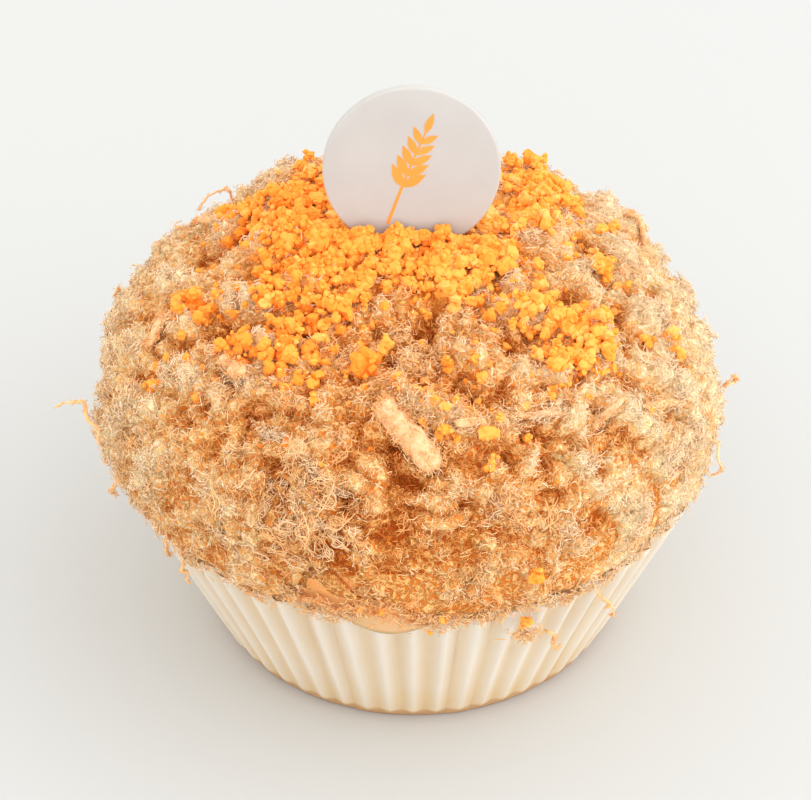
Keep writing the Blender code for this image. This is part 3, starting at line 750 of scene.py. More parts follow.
def fibres(name, middles, ahead, across, lengths, bends, thickness, tones, rings=3):
    """Closed spindles of three sides, with a few rings of points between two tips, as one piece.

    The heading turns by the bend from one tip to the other, plus a sine that makes an S of
    it, in the plane of ahead and across, and the steps added up give the path. Round it run
    the rings. The map holds each fibre's tone, and the way along it.
    """
    count = len(middles)
    waver = (FIBRE_WAVER * np.sin(np.arange(count) * 2.4))[:, None]
    inner = np.arange(1, rings + 1) / (rings + 1)

    def heading_turn(share):
        return bends[:, None] * (share - 0.5) + waver * np.sin(2 * np.pi * share)

    step_turn = heading_turn((np.arange(rings + 1) + 0.5) / (rings + 1))[..., None]
    steps = np.cos(step_turn) * ahead[:, None] + np.sin(step_turn) * across[:, None]
    path = np.cumsum(steps * (lengths / (rings + 1))[:, None, None], axis=1)
    path = np.concatenate([np.zeros((count, 1, 3)), path], axis=1)
    path = path - path.mean(axis=1, keepdims=True) + middles[:, None]
    ring_turn = heading_turn(inner)[..., None]
    inward = np.cos(ring_turn) * across[:, None] - np.sin(ring_turn) * ahead[:, None]
    flank = np.cross(ahead, across)[:, None]
    points = [path[:, :1]]
    for corner in (0, 2 * np.pi / 3, 4 * np.pi / 3):
        out = math.cos(corner) * inward + math.sin(corner) * flank
        points.append(path[:, 1:-1] + out * (thickness / 2)[:, None, None])
    points.append(path[:, -1:])
    points = np.concatenate(points, axis=1)
    quads, tips = [], []
    for corner in range(3):
        here, beside = 1 + rings * corner, 1 + rings * ((corner + 1) % 3)
        tips.append((0, beside, here))
        tips.append((here + rings - 1, beside + rings - 1, 3 * rings + 1))
        for row in range(rings - 1):
            quads.append((here + row, beside + row, beside + row + 1, here + row + 1))
    first = ((3 * rings + 2) * np.arange(count))[:, None, None]
    quads = (np.array(quads)[None] + first).reshape(-1, 4)
    tips = (np.array(tips)[None] + first).reshape(-1, 3)
    way = np.array([0, *inner, *inner, *inner, 1])
    tone_and_way = np.stack(np.broadcast_arrays(tones[:, None], way[None]), axis=-1).reshape(-1, 2)
    corners = np.concatenate([quads.ravel(), tips.ravel()])
    made = piece_of(name, points.reshape(-1, 3), quads, tips, tone_and_way[corners].ravel())
    made.data.materials.append(fibre_look)
    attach(made, "root")
    return made


def tone_of_map(tree):
    """The tone that a piece of many small shapes keeps as the first number of its map."""
    palette = tree.nodes.new("ShaderNodeUVMap")
    palette.uv_map = "OFBake"
    parts = tree.nodes.new("ShaderNodeSeparateXYZ")
    tree.links.new(palette.outputs["UV"], parts.inputs[0])
    return parts.outputs["X"]


fibre_look, tree, shader = plain_material("floss_fibre", 0.75)
coloured(
    tree,
    shader,
    tone_of_map(tree),
    (
        (0.0, (188, 88, 28)),
        (0.25, (236, 139, 64)),
        (0.5, (254, 184, 113)),
        (0.75, (252, 206, 148)),
        (1.0, (252, 225, 190)),
    ),
)
shader.inputs["Specular IOR Level"].default_value = 0.15
shader.inputs["Sheen Weight"].default_value = 0.15
shader.inputs["Sheen Roughness"].default_value = 0.5
shader.inputs["Sheen Tint"].default_value = eye_colour(255, 192, 124)


def scattered_fibres(name, seed, count, weight, lengths, bends, tones, raised, upward, rings=3):
    """One kind of fibre over the whole coat, by how it lies and how it is coloured.

    The tones are the middle one, how much it grows on the tufts, which paints shade in the pits, and
    its spread.
    """
    draw = np.random.RandomState(seed)
    points, fine, broad, relief = on_coat(draw, count, weight)
    ahead = combed(draw, points, broad)
    ahead = unit(ahead + broad * draw.normal(0, upward, (count, 1)))
    side = np.cross(broad, ahead)
    roll = draw.uniform(-1.3, 1.0, (count, 1))
    across = side * np.cos(roll) * draw.choice((-1, 1), (count, 1)) + broad * np.sin(roll)
    across = unit(across - ahead * np.sum(across * ahead, axis=1)[:, None])
    height = draw.uniform(*raised, count) * MM
    length = draw.uniform(*lengths, count) * MM
    # Painted light and shade: a fibre is darker the lower it lies in the pits, and paler on the flanks
    # and back, less so in the pits.
    tone = tones[0] + tones[1] * relief / MM + draw.normal(0, tones[2], count)
    tone += 0.05 * field(points, 11 * MM, 41) + painted_flank_light(points) * less_light_in_pits(relief)
    fibres(
        name,
        points + broad * height[:, None],
        ahead,
        across,
        length,
        np.radians(draw.uniform(*bends, count)),
        draw.uniform(*FIBRE_THICKNESS, count),
        np.clip(tone, 0.02, 0.98),
        rings,
    )


evenly = (1 - 0.6 * dusting(coat_points)) * (1 - 0.93 * over_blister(coat_points))
# Painted shade: the darker amber fibres gather in the pits and the cream ones on the tufts.
in_pits = np.clip(1.1 - 0.7 * coat_relief / MM, 0.3, 2) * evenly
on_tufts = np.clip(0.55 + 0.8 * coat_relief / MM, 0.08, 2) * evenly
low, middling, high, lifted = (-0.05, 0.15), (0.05, 0.4), (0.25, 0.65), (0.2, 0.6)
for kind in (
    ("fibres_amber", 51, AMBER_FIBRES, in_pits, (0.9, 2.2), (60, 280), (0.22, 0.1, 0.12), low, 0.3, 2),
    ("fibres_tan", 52, TAN_FIBRES, evenly, (0.9, 2.3), (60, 300), (0.5, 0.12, 0.16), middling, 0.4),
    ("fibres_cream", 53, CREAM_FIBRES, on_tufts, (0.8, 2.1), (60, 300), (0.74, 0.1, 0.12), high, 0.5),
    ("fibres_blond", 54, BLOND_FIBRES, on_tufts, (2.0, 3.6), (60, 260), (0.8, 0.05, 0.08), lifted, 0.3),
):
    scattered_fibres(*kind)

# Tufts: felted wads of the same fibres, 2 to 6 mm across, that stand proud of the coat where
# the floss was pressed on by hand. Most lie anywhere; the pale ones are the larger ones that
# show at the front and on top.
TUFTS = 150
FIBRES_IN_A_TUFT = 60
COAT_CURVE = 40
# Place x and y, half width and half length in mm, heading, number of fibres, and tone.
PALE_TUFTS = (
    (-24.2, -18.0, 1.2, 2.6, -64, 190, 1.05),
    (-22.0, -20.5, 1.1, 2.2, -60, 110, 0.82),
    (-17.5, -29.0, 0.9, 3.2, -38, 190, 0.9),
    (-12.5, -33.5, 0.9, 3.0, -52, 190, 0.88),
    (-9.5, -36.0, 0.8, 2.2, -20, 90, 0.85),
    (-19.0, -33.0, 0.7, 2.6, -70, 90, 0.85),
    (-8.0, -19.0, 1.6, 1.9, 60, 120, 0.78),
    (5.8, -29.6, 0.9, 1.5, 20, 90, 0.95),
    (-18.5, -9.0, 1.0, 2.0, 80, 80, 0.78),
    (12.0, -27.0, 1.2, 1.8, 40, 90, 0.75),
    (-2.0, -16.0, 1.8, 1.6, 10, 90, 0.72),
    (14.6, 3.6, 1.6, 2.2, 30, 110, 0.68),
    (5.0, -4.5, 1.0, 1.6, -30, 70, 0.68),
    (17.0, -26.0, 1.2, 2.6, 15, 110, 0.86),
    (24.0, -23.0, 1.4, 2.4, 50, 110, 0.86),
)


def coat_over(x, y):
    """Points and normals of the coat over places in plan, in millimetres."""
    east, north = x * MM - FLOSS_CENTRE_X, y * MM
    share = np.hypot(east, north) / FLOSS_RADIUS
    points, normals, _ = coat_at(np.arctan2(north, east), lift_of_plan_share(share))
    return points, normals


def curly_fibres(name, draw, middles, ahead, across, lengths, bends, tones, spread, least, rings=3):
    """Fibres whose length in millimetres and bend in degrees are drawn between two limits.

    Their tones are spread about the given ones, and kept between the least tone and near one.
    """
    count = len(middles)
    fibres(
        name,
        middles,
        ahead,
        across,
        draw.uniform(*lengths, count) * MM,
        np.radians(draw.uniform(*bends, count)),
        draw.uniform(*FIBRE_THICKNESS, count),
        np.clip(tones + draw.normal(0, spread, count), least, 0.96),
        rings,
    )


def wads(name, seed, centres, normals, headings, narrow, long, counts, tones, rise):
    """Fibres heaped round each centre: bell-shaped across and along its heading, and domed."""
    draw = np.random.RandomState(seed)
    owner = np.repeat(np.arange(len(centres)), counts)
    total = len(owner)
    out = normals[owner]
    ahead = unit(headings - normals * np.sum(headings * normals, axis=1)[:, None])[owner]
    side = np.cross(out, ahead)
    forth = draw.normal(0, 0.55, total) * long[owner]
    aside = draw.normal(0, 0.55, total) * narrow[owner]
    reach = np.exp(-((forth / long[owner]) ** 2) - (aside / narrow[owner]) ** 2)
    height = draw.uniform(-0.3, 1.0, total) * rise[owner] * reach
    drop = (forth**2 + aside**2) / (2 * COAT_CURVE)
    middles = centres[owner] + (ahead * forth[:, None] + side * aside[:, None]) * MM
    middles = middles + out * ((height - drop) * MM)[:, None]
    heading = unit(ahead + 0.75 * draw.normal(size=(total, 3)))
    across = unit(np.cross(heading, draw.normal(size=(total, 3))))
    # Painted light: the wads are paler on the flanks and back.
    tone = tones[owner] + painted_flank_light(middles)
    curly_fibres(name, draw, middles, heading, across, (1.1, 2.6), (60, 300), tone, 0.1, 0.02, 2)


draw = np.random.RandomState(61)
tuft_points, _, tuft_normals, _ = on_coat(draw, TUFTS, on_tufts**2)
wads(
    "tufts_felted",
    62,
    tuft_points,
    tuft_normals,
    draw.normal(size=(TUFTS, 3)),
    draw.uniform(0.8, 1.8, TUFTS),
    draw.uniform(1.2, 2.8, TUFTS),
    np.full(TUFTS, FIBRES_IN_A_TUFT),
    draw.uniform(0.4, 0.8, TUFTS),
    draw.uniform(0.5, 1.5, TUFTS),
)
pale = np.array(PALE_TUFTS)
pale_points, pale_normals = coat_over(pale[:, 0], pale[:, 1])
pale_heading = np.radians(pale[:, 4])
wads(
    "tufts_pale",
    63,
    pale_points,
    pale_normals,
    np.stack([np.cos(pale_heading), np.sin(pale_heading), 0 * pale_heading], axis=1),
    pale[:, 2],
    pale[:, 3],
    pale[:, 5].astype(int),
    pale[:, 6],
    np.full(len(pale), 0.9),
)

# Hem of the floss: small wads and single fibres that hang out of the coat's lower edge, over
# the skin of the bun and the rim of the paper. Few hang over the bays at the front.
HEM_WADS = 84
FIBRES_IN_A_HEM_WAD = 36
HEM_FIBRES = 1500
HEM_RADIUS = 39.7 * MM
BARED_AT_BLISTER = 4.4 * MM
BAY_MIDDLE = -99.0
BAY_HALF_WIDTH = 8.0
# Direction in degrees and height in mm of the small wads round the bays.
BAY_WADS = (
    (-113.0, 29.8),
    (-110.8, 28.6),
    (-108.6, 28.2),
    (-106.4, 28.2),
    (-104.5, 28.4),
    (-102.4, 28.8),
    (-100.6, 29.6),
    (-98.6, 31.4),
    (-99.6, 33.2),
    (-90.2, 29.0),
    (-88.0, 28.0),
    (-85.6, 27.5),
    (-83.2, 27.8),
    (-80.8, 28.2),
)
BAY_FIBRES = 300
FIBRES_IN_A_BAY_WAD = 20


def ring_points(angle, radius, z):
    """Points round the axis of the bun."""
    return np.stack([radius * np.cos(angle), radius * np.sin(angle), z + 0 * angle], axis=-1)


def hem_radius(angle):
    """How far out the hem hangs: less on the right of the front, by a bell over angle."""
    return HEM_RADIUS - 0.9 * MM * bell(around(angle, -36), 20)


draw = np.random.RandomState(65)
wad_angle = np.linspace(-np.pi, np.pi, HEM_WADS, endpoint=False) + draw.normal(0, 0.04, HEM_WADS)
wad_angle = wad_angle[np.abs(around(wad_angle, BAY_MIDDLE)) > BAY_HALF_WIDTH]
wad_z = floss_hem_z(wad_angle) + draw.uniform(-1.7, 1.2, len(wad_angle)) * MM
wad_angle = np.concatenate([wad_angle, np.radians([angle for angle, z in BAY_WADS])])
over_bay = np.arange(len(wad_angle)) >= len(wad_z)
wad_z = np.concatenate([wad_z, np.array([z for angle, z in BAY_WADS]) * MM])
wads(
    "tufts_hem",
    66,
    ring_points(wad_angle, hem_radius(wad_angle), wad_z),
    unit(ring_points(wad_angle, 1, -0.3)),
    draw.normal(size=(len(wad_angle), 3)),
    draw.uniform(0.6, 1.4, len(wad_angle)),
    draw.uniform(0.9, 2.2, len(wad_angle)),
    np.where(over_bay, FIBRES_IN_A_BAY_WAD, FIBRES_IN_A_HEM_WAD),
    draw.uniform(0.4, 0.7, len(wad_angle)) + 0.15 * over_bay,
    draw.uniform(0.4, 1.0, len(wad_angle)),
)
hem_angle = draw.uniform(-np.pi, np.pi, HEM_FIBRES)
hem_angle[:BAY_FIBRES] = np.radians(draw.uniform(-114, -84, BAY_FIBRES))
at_bay = np.abs(around(hem_angle, BAY_MIDDLE)) < BAY_HALF_WIDTH
hem_fall = np.abs(draw.normal(0, 0.8, HEM_FIBRES)) * np.where(at_bay, 2.0, 1.0)
hem_z = floss_hem_z(hem_angle) - hem_fall * MM
hem_middles = ring_points(hem_angle, hem_radius(hem_angle) + 0.2 * MM, hem_z)
most = np.arange(HEM_FIBRES) % 5 > 0
hem_middles[:, 2] -= BARED_AT_BLISTER * over_blister(hem_middles) * most
hem_ahead = unit(draw.normal(size=(HEM_FIBRES, 3)) - (0, 0, 0.5))
hem_outward = ring_points(hem_angle, 1, 0)
outward_part = np.sum(hem_ahead * hem_outward, axis=1)[:, None]
hem_ahead = unit(hem_ahead - 0.8 * hem_outward * outward_part)
hem_across = unit(np.cross(hem_ahead, hem_outward + 0.4 * draw.normal(size=(HEM_FIBRES, 3))))
curly_fibres(
    "fibres_hem",
    draw,
    hem_middles,
    hem_ahead,
    hem_across,
    (0.9, 2.4),
    (30, 300),
    # Painted light: the hem fibres are paler on the flanks and back.
    0.55 + painted_flank_light(hem_middles),
    0.16,
    0.1,
)

# Loose strands: longer shreds that came out of the coat at one end. They curl off its flanks
# and hang over the paper, and one wad of floss has dropped onto the paper at the front.
# Five points that pull each strand, in mm, and its thickness.
STRANDS = (
    ((-40.0, -11.5, 31.0), (-42.4, -11.0, 35.0), (-40.8, -10.0, 39.5),
     (-44.0, -9.5, 41.5), (-46.2, -9.5, 38.4), 0.5),
    ((38.2, -14.0, 37.5), (40.6, -14.0, 35.5), (39.0, -14.2, 32.5),
     (40.4, -14.2, 29.8), (37.6, -14.0, 31.6), 0.35),
    ((40.6, -1.5, 35.6), (42.0, -1.5, 38.4), (43.0, -1.6, 37.6),
     (42.8, -1.6, 36.4), (41.2, -1.6, 36.8), 0.4),
    ((-29.6, -26.8, 29.5), (-30.6, -27.4, 27.0), (-28.6, -26.4, 25.4),
     (-30.2, -25.8, 23.6), (-29.0, -25.2, 22.2), 0.4),
    ((-31.8, -24.6, 29.5), (-32.8, -25.2, 28.0), (-31.0, -25.0, 27.0),
     (-32.0, -24.0, 26.2), (-31.6, -23.6, 25.4), 0.4),
    ((-38.4, -13.0, 30.5), (-40.4, -13.2, 29.0), (-39.0, -13.2, 28.0),
     (-40.4, -12.6, 26.8), (-39.6, -12.2, 26.0), 0.45),
    ((22.6, -33.0, 29.0), (24.6, -33.0, 26.0), (22.8, -32.0, 24.0),
     (26.2, -29.0, 22.0), (25.4, -27.6, 18.6), 0.35),
    ((16.6, -36.0, 23.5), (19.4, -33.6, 21.0), (16.0, -34.2, 19.8),
     (17.6, -33.6, 18.4), (18.4, -32.6, 17.8), 0.3),
    ((-23.5, 25.0, 46.0), (-26.5, 25.0, 48.5), (-23.5, 25.0, 50.5),
     (-27.5, 24.5, 50.0), (-29.0, 24.0, 47.0), 0.3),
    ((15.5, 37.5, 34.0), (17.0, 39.5, 31.0), (14.5, 39.5, 28.5),
     (17.5, 39.0, 26.5), (16.5, 38.0, 24.0), 0.4),
)
STRAND_RINGS = 28
STRAND_SIDES = 7
FIBRES_ON_A_STRAND = 46
STRAND_WANDER = 0.25 * MM
DROPPED_WAD = (14.1, -37.4, 24.6)


def ringed_many(name, rings, first_poles, last_poles, tones):
    """Closed shapes of rings, all alike in rows and columns, as one piece with a tone for each."""
    count, rows, columns = rings.shape[:3]
    rings = rings.reshape(count, -1, 3)
    points = np.concatenate([rings, first_poles[:, None], last_poles[:, None]], axis=1)
    per_shape = points.shape[1]
    start = (per_shape * np.arange(count))[:, None, None]
    quads, fans = ringed_faces(rows, columns)
    quads, fans = (quads[None] + start).reshape(-1, 4), (fans[None] + start).reshape(-1, 3)
    tone_map = np.stack([np.repeat(tones, per_shape), np.full(count * per_shape, 0.5)], axis=1)
    corners = np.concatenate([quads.ravel(), fans.ravel()])
    made = piece_of(name, points.reshape(-1, 3), quads, fans, tone_map[corners].ravel())
    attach(made, "root")
    return made


strand_controls = np.array([strand[:5] for strand in STRANDS]) * MM
strand_width = np.array([strand[5] for strand in STRANDS]) * MM
way = np.linspace(0, 1, STRAND_RINGS)
pull = [math.comb(4, power) * way**power * (1 - way) ** (4 - power) for power in range(5)]
strand_path = np.einsum("kr,skj->srj", np.stack(pull), strand_controls)
wander = np.stack([field(strand_path, 3 * MM, seed) for seed in (67, 68, 69)], axis=-1)
strand_path = strand_path + STRAND_WANDER * wander
strand_ahead = unit(np.gradient(strand_path, axis=1))
strand_out = unit(strand_path * (1, 1, 0))
strand_side = unit(np.cross(strand_ahead, strand_out))
strand_up = np.cross(strand_side, strand_ahead)
corner = np.arange(STRAND_SIDES) * 2 * np.pi / STRAND_SIDES
spoke = np.cos(corner)[:, None] * strand_side[:, :, None]
spoke = spoke - np.sin(corner)[:, None] * strand_up[:, :, None]
half = strand_width[:, None, None] / 2 * (0.45 + 0.55 * np.sin(np.pi * way))[None, :, None]
half = half * (1 + 0.18 * field(strand_path, 1.4 * MM, 70))[..., None]
strands = ringed_many(
    "strands",
    strand_path[:, :, None] + spoke * half[..., None],
    strand_path[:, 0],
    strand_path[:, -1],
    # Painted light: the strands are paler on the flanks and back.
    np.clip(0.58 + 0.4 * painted_flank_light(strand_path[:, 10]), 0, 0.9),
)
strands.data.materials.append(fibre_look)
draw = np.random.RandomState(72)
total = FIBRES_ON_A_STRAND * len(STRANDS)
which = np.repeat(np.arange(len(STRANDS)), FIBRES_ON_A_STRAND)
place = draw.randint(0, STRAND_RINGS, total)
loose = draw.normal(size=(total, 3))
fuzz_ahead = unit(strand_ahead[which, place] + 0.5 * draw.normal(size=(total, 3)))
fuzz_middles = strand_path[which, place] + loose * (0.35 * strand_width[which])[:, None]
fuzz_across = unit(np.cross(fuzz_ahead, loose))
curly_fibres(
    "strand_fuzz", draw, fuzz_middles, fuzz_ahead, fuzz_across, (0.7, 1.6), (20, 240), 0.66, 0.12, 0.1
)
wads(
    "tuft_dropped",
    73,
    np.array([DROPPED_WAD]) * MM,
    unit(np.array([DROPPED_WAD]) * (1, 1, 0)),
    np.array([(1.0, 0.3, -0.2)]),
    np.array([1.2]),
    np.array([1.9]),
    np.array([110]),
    np.array([0.62]),
    np.array([1.3]),
)

# Shreds: bundles of longer threads of the same meat that were teased only halfway. They lie
# curled on the coat, some all over and some in a web on the left of the front, over the blister.
SHREDS_IN_THE_WEB = 44
SHREDS_ELSEWHERE = 60
THREADS_IN_A_SHRED = 8
SHRED_RINGS = 6
SHREDS_RAISED = 0.7 * MM

draw = np.random.RandomState(74)
web_angle = np.radians(draw.normal(-111, 6.5, SHREDS_IN_THE_WEB))
web_lift = np.clip(draw.normal(0.14, 0.14, SHREDS_IN_THE_WEB), -0.1, 0.5)
web_points, web_normals, _ = coat_at(web_angle, web_lift)
coat_spots, _, coat_spot_normals, _ = on_coat(draw, SHREDS_ELSEWHERE, on_tufts)
shred_points = np.concatenate([web_points, coat_spots])
shred_normals = np.concatenate([web_normals, coat_spot_normals])
shred_ahead = combed(draw, shred_points, shred_normals)
shred_length = draw.uniform(3.0, 7.0, len(shred_points)) * MM
shred_bend = draw.uniform(40, 150, len(shred_points))
# Painted light: the shreds are paler on the flanks and back.
shred_tone = draw.normal(0.62, 0.1, len(shred_points)) + 0.5 * painted_flank_light(shred_points)
shred_tone[:SHREDS_IN_THE_WEB] += 0.14
of_shred = np.repeat(np.arange(len(shred_points)), THREADS_IN_A_SHRED)
total = len(of_shred)
thread_ahead = unit(shred_ahead[of_shred] + 0.16 * draw.normal(size=(total, 3)))
thread_across = np.cross(shred_normals[of_shred], thread_ahead)
spread = draw.normal(0, 0.2, (total, 3)) * MM + shred_normals[of_shred] * SHREDS_RAISED
fibres(
    "shreds",
    shred_points[of_shred] + spread,
    thread_ahead,
    unit(thread_across + 0.2 * draw.normal(size=(total, 3))),
    shred_length[of_shred] * draw.uniform(0.6, 1.0, total),
    np.radians(shred_bend[of_shred] + draw.normal(0, 25, total)),
    draw.uniform(*FIBRE_THICKNESS, total),
    np.clip(shred_tone[of_shred] + draw.normal(0, 0.07, total), 0.3, 0.96),
    SHRED_RINGS,
)

# Slivers: shreds of meat that were not teased apart, dense and pale, flat and rounded at the
# ends. Each lies on the coat, under a fuzz of its own fibres, which run along it.
# Middle x and y in mm, heading in degrees, length and width in mm.
SLIVERS = (
    (-1.0, -30.4, -50.0, 12.0, 3.9),
    (-22.8, -18.6, -55.0, 7.0, 2.4),
    (15.2, -26.5, 12.0, 7.0, 1.0),
    (31.5, -18.5, 40.0, 10.0, 1.1),
    (-33.5, -7.0, 70.0, 6.5, 1.6),
    (-29.0, 17.0, 120.0, 8.0, 1.4),
    (29.0, 21.0, -35.0, 8.0, 1.4),
    (12.0, 33.5, 15.0, 9.0, 1.4),
    (-13.0, 33.0, -20.0, 8.0, 1.6),
    (6.5, -29.5, 20.0, 3.2, 1.5),
    (24.0, -24.0, 55.0, 6.0, 1.2),
)
SLIVER_SIDES = 20
SLIVER_RINGS = 30
FIBRES_PER_MM2 = 8.0
SLIVER_SMOOTHING = 9
SLIVER_THREAD_LENGTH = 0.9 * MM


def sliver_body(x, y, heading_degrees, length, width):
    """Rings, normals and headings of a flat rounded body along a path over the coat.

    Half its width follows one minus a power of the way from the middle: a high power for a
    broad one, whose ends are blunt, and a low one for a thin one. The path is the coat's,
    smoothed by a bell, and noise makes the body uneven.
    """
    share = np.linspace(-0.985, 0.985, SLIVER_RINGS)
    heading = math.radians(heading_degrees)
    way = length / 2 * share
    middle, out = coat_over(x + math.cos(heading) * way, y + math.sin(heading) * way)
    kernel = bell(np.arange(-SLIVER_SMOOTHING, SLIVER_SMOOTHING + 1), 6.0)
    kernel /= kernel.sum()
    padded = np.pad(middle, ((SLIVER_SMOOTHING, SLIVER_SMOOTHING), (0, 0)), "edge")
    middle = np.stack([np.convolve(padded[:, axis], kernel, "valid") for axis in range(3)], axis=1)
    ahead = unit(np.gradient(middle, axis=0))
    out = unit(out.mean(axis=0) - ahead * np.sum(out.mean(axis=0) * ahead, axis=1)[:, None])
    side = np.cross(ahead, out)
    half = 0.45 * width * MM * (1 - np.abs(share) ** (0.9 + 1.3 * width)) ** 0.5
    middle = middle + out * (0.2 * width * MM + 0.5 * MM)
    turn = np.linspace(0, 2 * np.pi, SLIVER_SIDES, endpoint=False)
    normal = np.cos(turn)[:, None] * side[:, None] - 0.72 * np.sin(turn)[:, None] * out[:, None]
    rings = middle[:, None] + normal * half[:, None, None]
    rings = rings + normal * (0.09 * field(rings, 2.6 * MM, 71) * half[:, None])[..., None]
    return rings, unit(normal), np.broadcast_to(ahead[:, None], rings.shape), middle


sliver_look, tree, shader = plain_material("sliver_meat", 0.7)
places = object_places(tree)
matted = threads_on(tree, places, SLIVER_THREAD_LENGTH)
tone = summed(tree, 0.0, (matted, 0.35), (noise_of(tree, places, 2 * MM), 0.8))
coloured(tree, shader, tone, ((0.1, (234, 164, 104)), (0.5, (246, 194, 140)), (1.0, (252, 216, 172))))
bumped(tree, shader, matted, 0.5, 0.15 * MM)

sliver_parts = []
for number, values in enumerate(SLIVERS):
    rings, normals, headings, middle = sliver_body(*values)
    body = ringed_piece(f"sliver_{number + 1:02d}", rings, middle[0], middle[-1])
    body.data.materials.append(sliver_look)
    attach(body, "root")
    draw = np.random.RandomState(80 + number)
    count = int(FIBRES_PER_MM2 * values[3] * values[4] * 2)
    pick = draw.randint(0, SLIVER_RINGS * SLIVER_SIDES, count)
    flat = [grid.reshape(-1, 3)[pick] for grid in (rings, normals, headings)]
    flat[0] = flat[0] + draw.normal(0, 0.06 * values[4] * MM + 0.08 * MM, (count, 3))
    sliver_parts.append(flat)
middles, outs, aheads = (np.concatenate(parts) for parts in zip(*sliver_parts))
draw = np.random.RandomState(79)
count = len(middles)
aheads = unit(aheads + 0.55 * draw.normal(size=(count, 3)))
acrosses = unit(np.cross(aheads, outs + 0.8 * draw.normal(size=(count, 3))))
fibres(
    "sliver_fuzz",
    middles + outs * 0.05 * MM,
    aheads,
    acrosses,
    draw.uniform(0.9, 2.0, count) * MM,
    np.radians(draw.uniform(20, 200, count)),
    draw.uniform(*FIBRE_THICKNESS, count),
    np.clip(draw.normal(0.68, 0.13, count), 0.3, 0.98),
)

# Topper plate: a round tablet of pressed white sugar, 23 mm across, stood on its edge in the
# crumbs and leaning back, with an ear of wheat in orange food colour on its face.
PLATE_RADIUS = 11.5 * MM
PLATE_THICKNESS = 1.2 * MM
PLATE_CENTRE = Vector((-0.43, 5.2, 66.3)) * MM
PLATE_LEAN = math.radians(11.1)
PLATE_YAW = math.radians(2.5)
PLATE_EDGE_ROUNDING = 0.35 * MM
PLATE_COLUMNS = 144
SUGAR_GRAIN_LENGTH = 0.25 * MM
SUGAR_WHITE = (184, 181, 178)
SUGAR_CLOUD = (188, 186, 183)
PRINT_ORANGE = (238, 146, 54)
PRINT_LIGHT = (240, 154, 66)

plate_place = (
    Matrix.Translation(PLATE_CENTRE)
    @ Matrix.Rotation(PLATE_YAW, 4, "Z")
    @ Matrix.Rotation(math.pi / 2 - PLATE_LEAN, 4, "X")
)


def placed(points, place):
    """Points carried by a matrix."""
    matrix = np.array(place)
    return points @ matrix[:3, :3].T + matrix[:3, 3]


plate_angles = np.linspace(0, 2 * np.pi, PLATE_COLUMNS, endpoint=False)
half = PLATE_THICKNESS / 2
flat_radius = PLATE_RADIUS - PLATE_EDGE_ROUNDING
plate_profile = [(share * flat_radius, -half) for share in (0.3, 0.7, 1.0)]
for turn in np.radians((-67.5, -45, -22.5, 0)):
    plate_profile.append(
        (
            PLATE_RADIUS - PLATE_EDGE_ROUNDING * (1 - math.cos(turn)),
            -half + PLATE_EDGE_ROUNDING * (1 + math.sin(turn)),
        )
    )
plate_profile += [(radius, -z) for radius, z in reversed(plate_profile)]
plate_rings = np.stack([ring_points(plate_angles, radius, z) for radius, z in plate_profile])
plate_poles = [plate_place @ Vector((0, 0, z)) for z in (-half, half)]
plate = ringed_piece("sugar_plate", placed(plate_rings, plate_place), *plate_poles)
look, tree, shader = plain_material("pressed_sugar", 0.38)
places = object_places(tree)
coloured(tree, shader, noise_of(tree, places, 6 * MM), ((0.3, SUGAR_WHITE), (0.7, SUGAR_CLOUD)))
bumped(tree, shader, noise_of(tree, places, SUGAR_GRAIN_LENGTH), 0.08, 0.05 * MM)
lit_through(shader, 0.2, (1.0, 0.9, 0.8), 1 * MM)
plate.data.materials.append(look)
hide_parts("topper_plate")
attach(plate, "root")

# The print: an ear of wheat on a bent stalk, a thin film of food colour on the plate's face.
EAR_GRAINS = 5
EAR_STEP = 0.115
EAR_GRAIN_LENGTH = 3.5 * MM
EAR_GRAIN_WIDTH = 1.3 * MM
STALK_WIDTH = 0.36 * MM
PRINT_THICKNESS = 0.03 * MM


def leaf_outline(foot, heading, length, width):
    """Outline of a pointed grain: its half width is a sine of the way along it."""
    share = np.linspace(0, 1, 13)
    half = np.sin(np.pi * share**0.85) * width / 2
    way = np.concatenate([share * length, (share * length)[-2:0:-1]])
    aside = np.concatenate([half, -half[-2:0:-1]])
    ahead = np.array([math.cos(heading), math.sin(heading)])
    return foot + way[:, None] * ahead + aside[:, None] * np.array([-ahead[1], ahead[0]])


def stalk_line(share):
    """The bent centreline of the stalk, from its foot to its tip, on the plate's face."""
    bend = 2.2 * MM * np.sin(share * np.pi * 0.5)
    return np.stack([-3.2 * MM + 5.8 * MM * share - bend * 0.3, -7.4 * MM + 12.9 * MM * share], -1)


print_outlines = []
stalk_share = np.linspace(0, 1, 16)
stalk = stalk_line(stalk_share)
stalk_side = np.gradient(stalk, axis=0)[:, ::-1] * (-1, 1)
stalk_side = stalk_side / np.linalg.norm(stalk_side, axis=1)[:, None]
stalk_half = (STALK_WIDTH / 2 * (1.25 - 0.6 * stalk_share))[:, None]
print_outlines.append(
    np.concatenate([stalk + stalk_side * stalk_half, (stalk - stalk_side * stalk_half)[::-1]])
)
for pair in range(EAR_GRAINS):
    share = 0.4 + EAR_STEP * pair
    foot = stalk_line(np.array(share))
    ahead = stalk_line(np.array(share + 0.02)) - foot
    heading = math.atan2(ahead[1], ahead[0])
    shrink = 1 - 0.07 * pair
    for hand in (-1, 1):
        print_outlines.append(
            leaf_outline(
                foot,
                heading + hand * math.radians(42),
                EAR_GRAIN_LENGTH * shrink,
                EAR_GRAIN_WIDTH * shrink,
            )
        )
print_outlines.append(
    leaf_outline(
        stalk_line(np.array(0.97)), math.radians(68), EAR_GRAIN_LENGTH * 0.85, EAR_GRAIN_WIDTH * 0.75
    )
)
print_points = []
print_faces = []
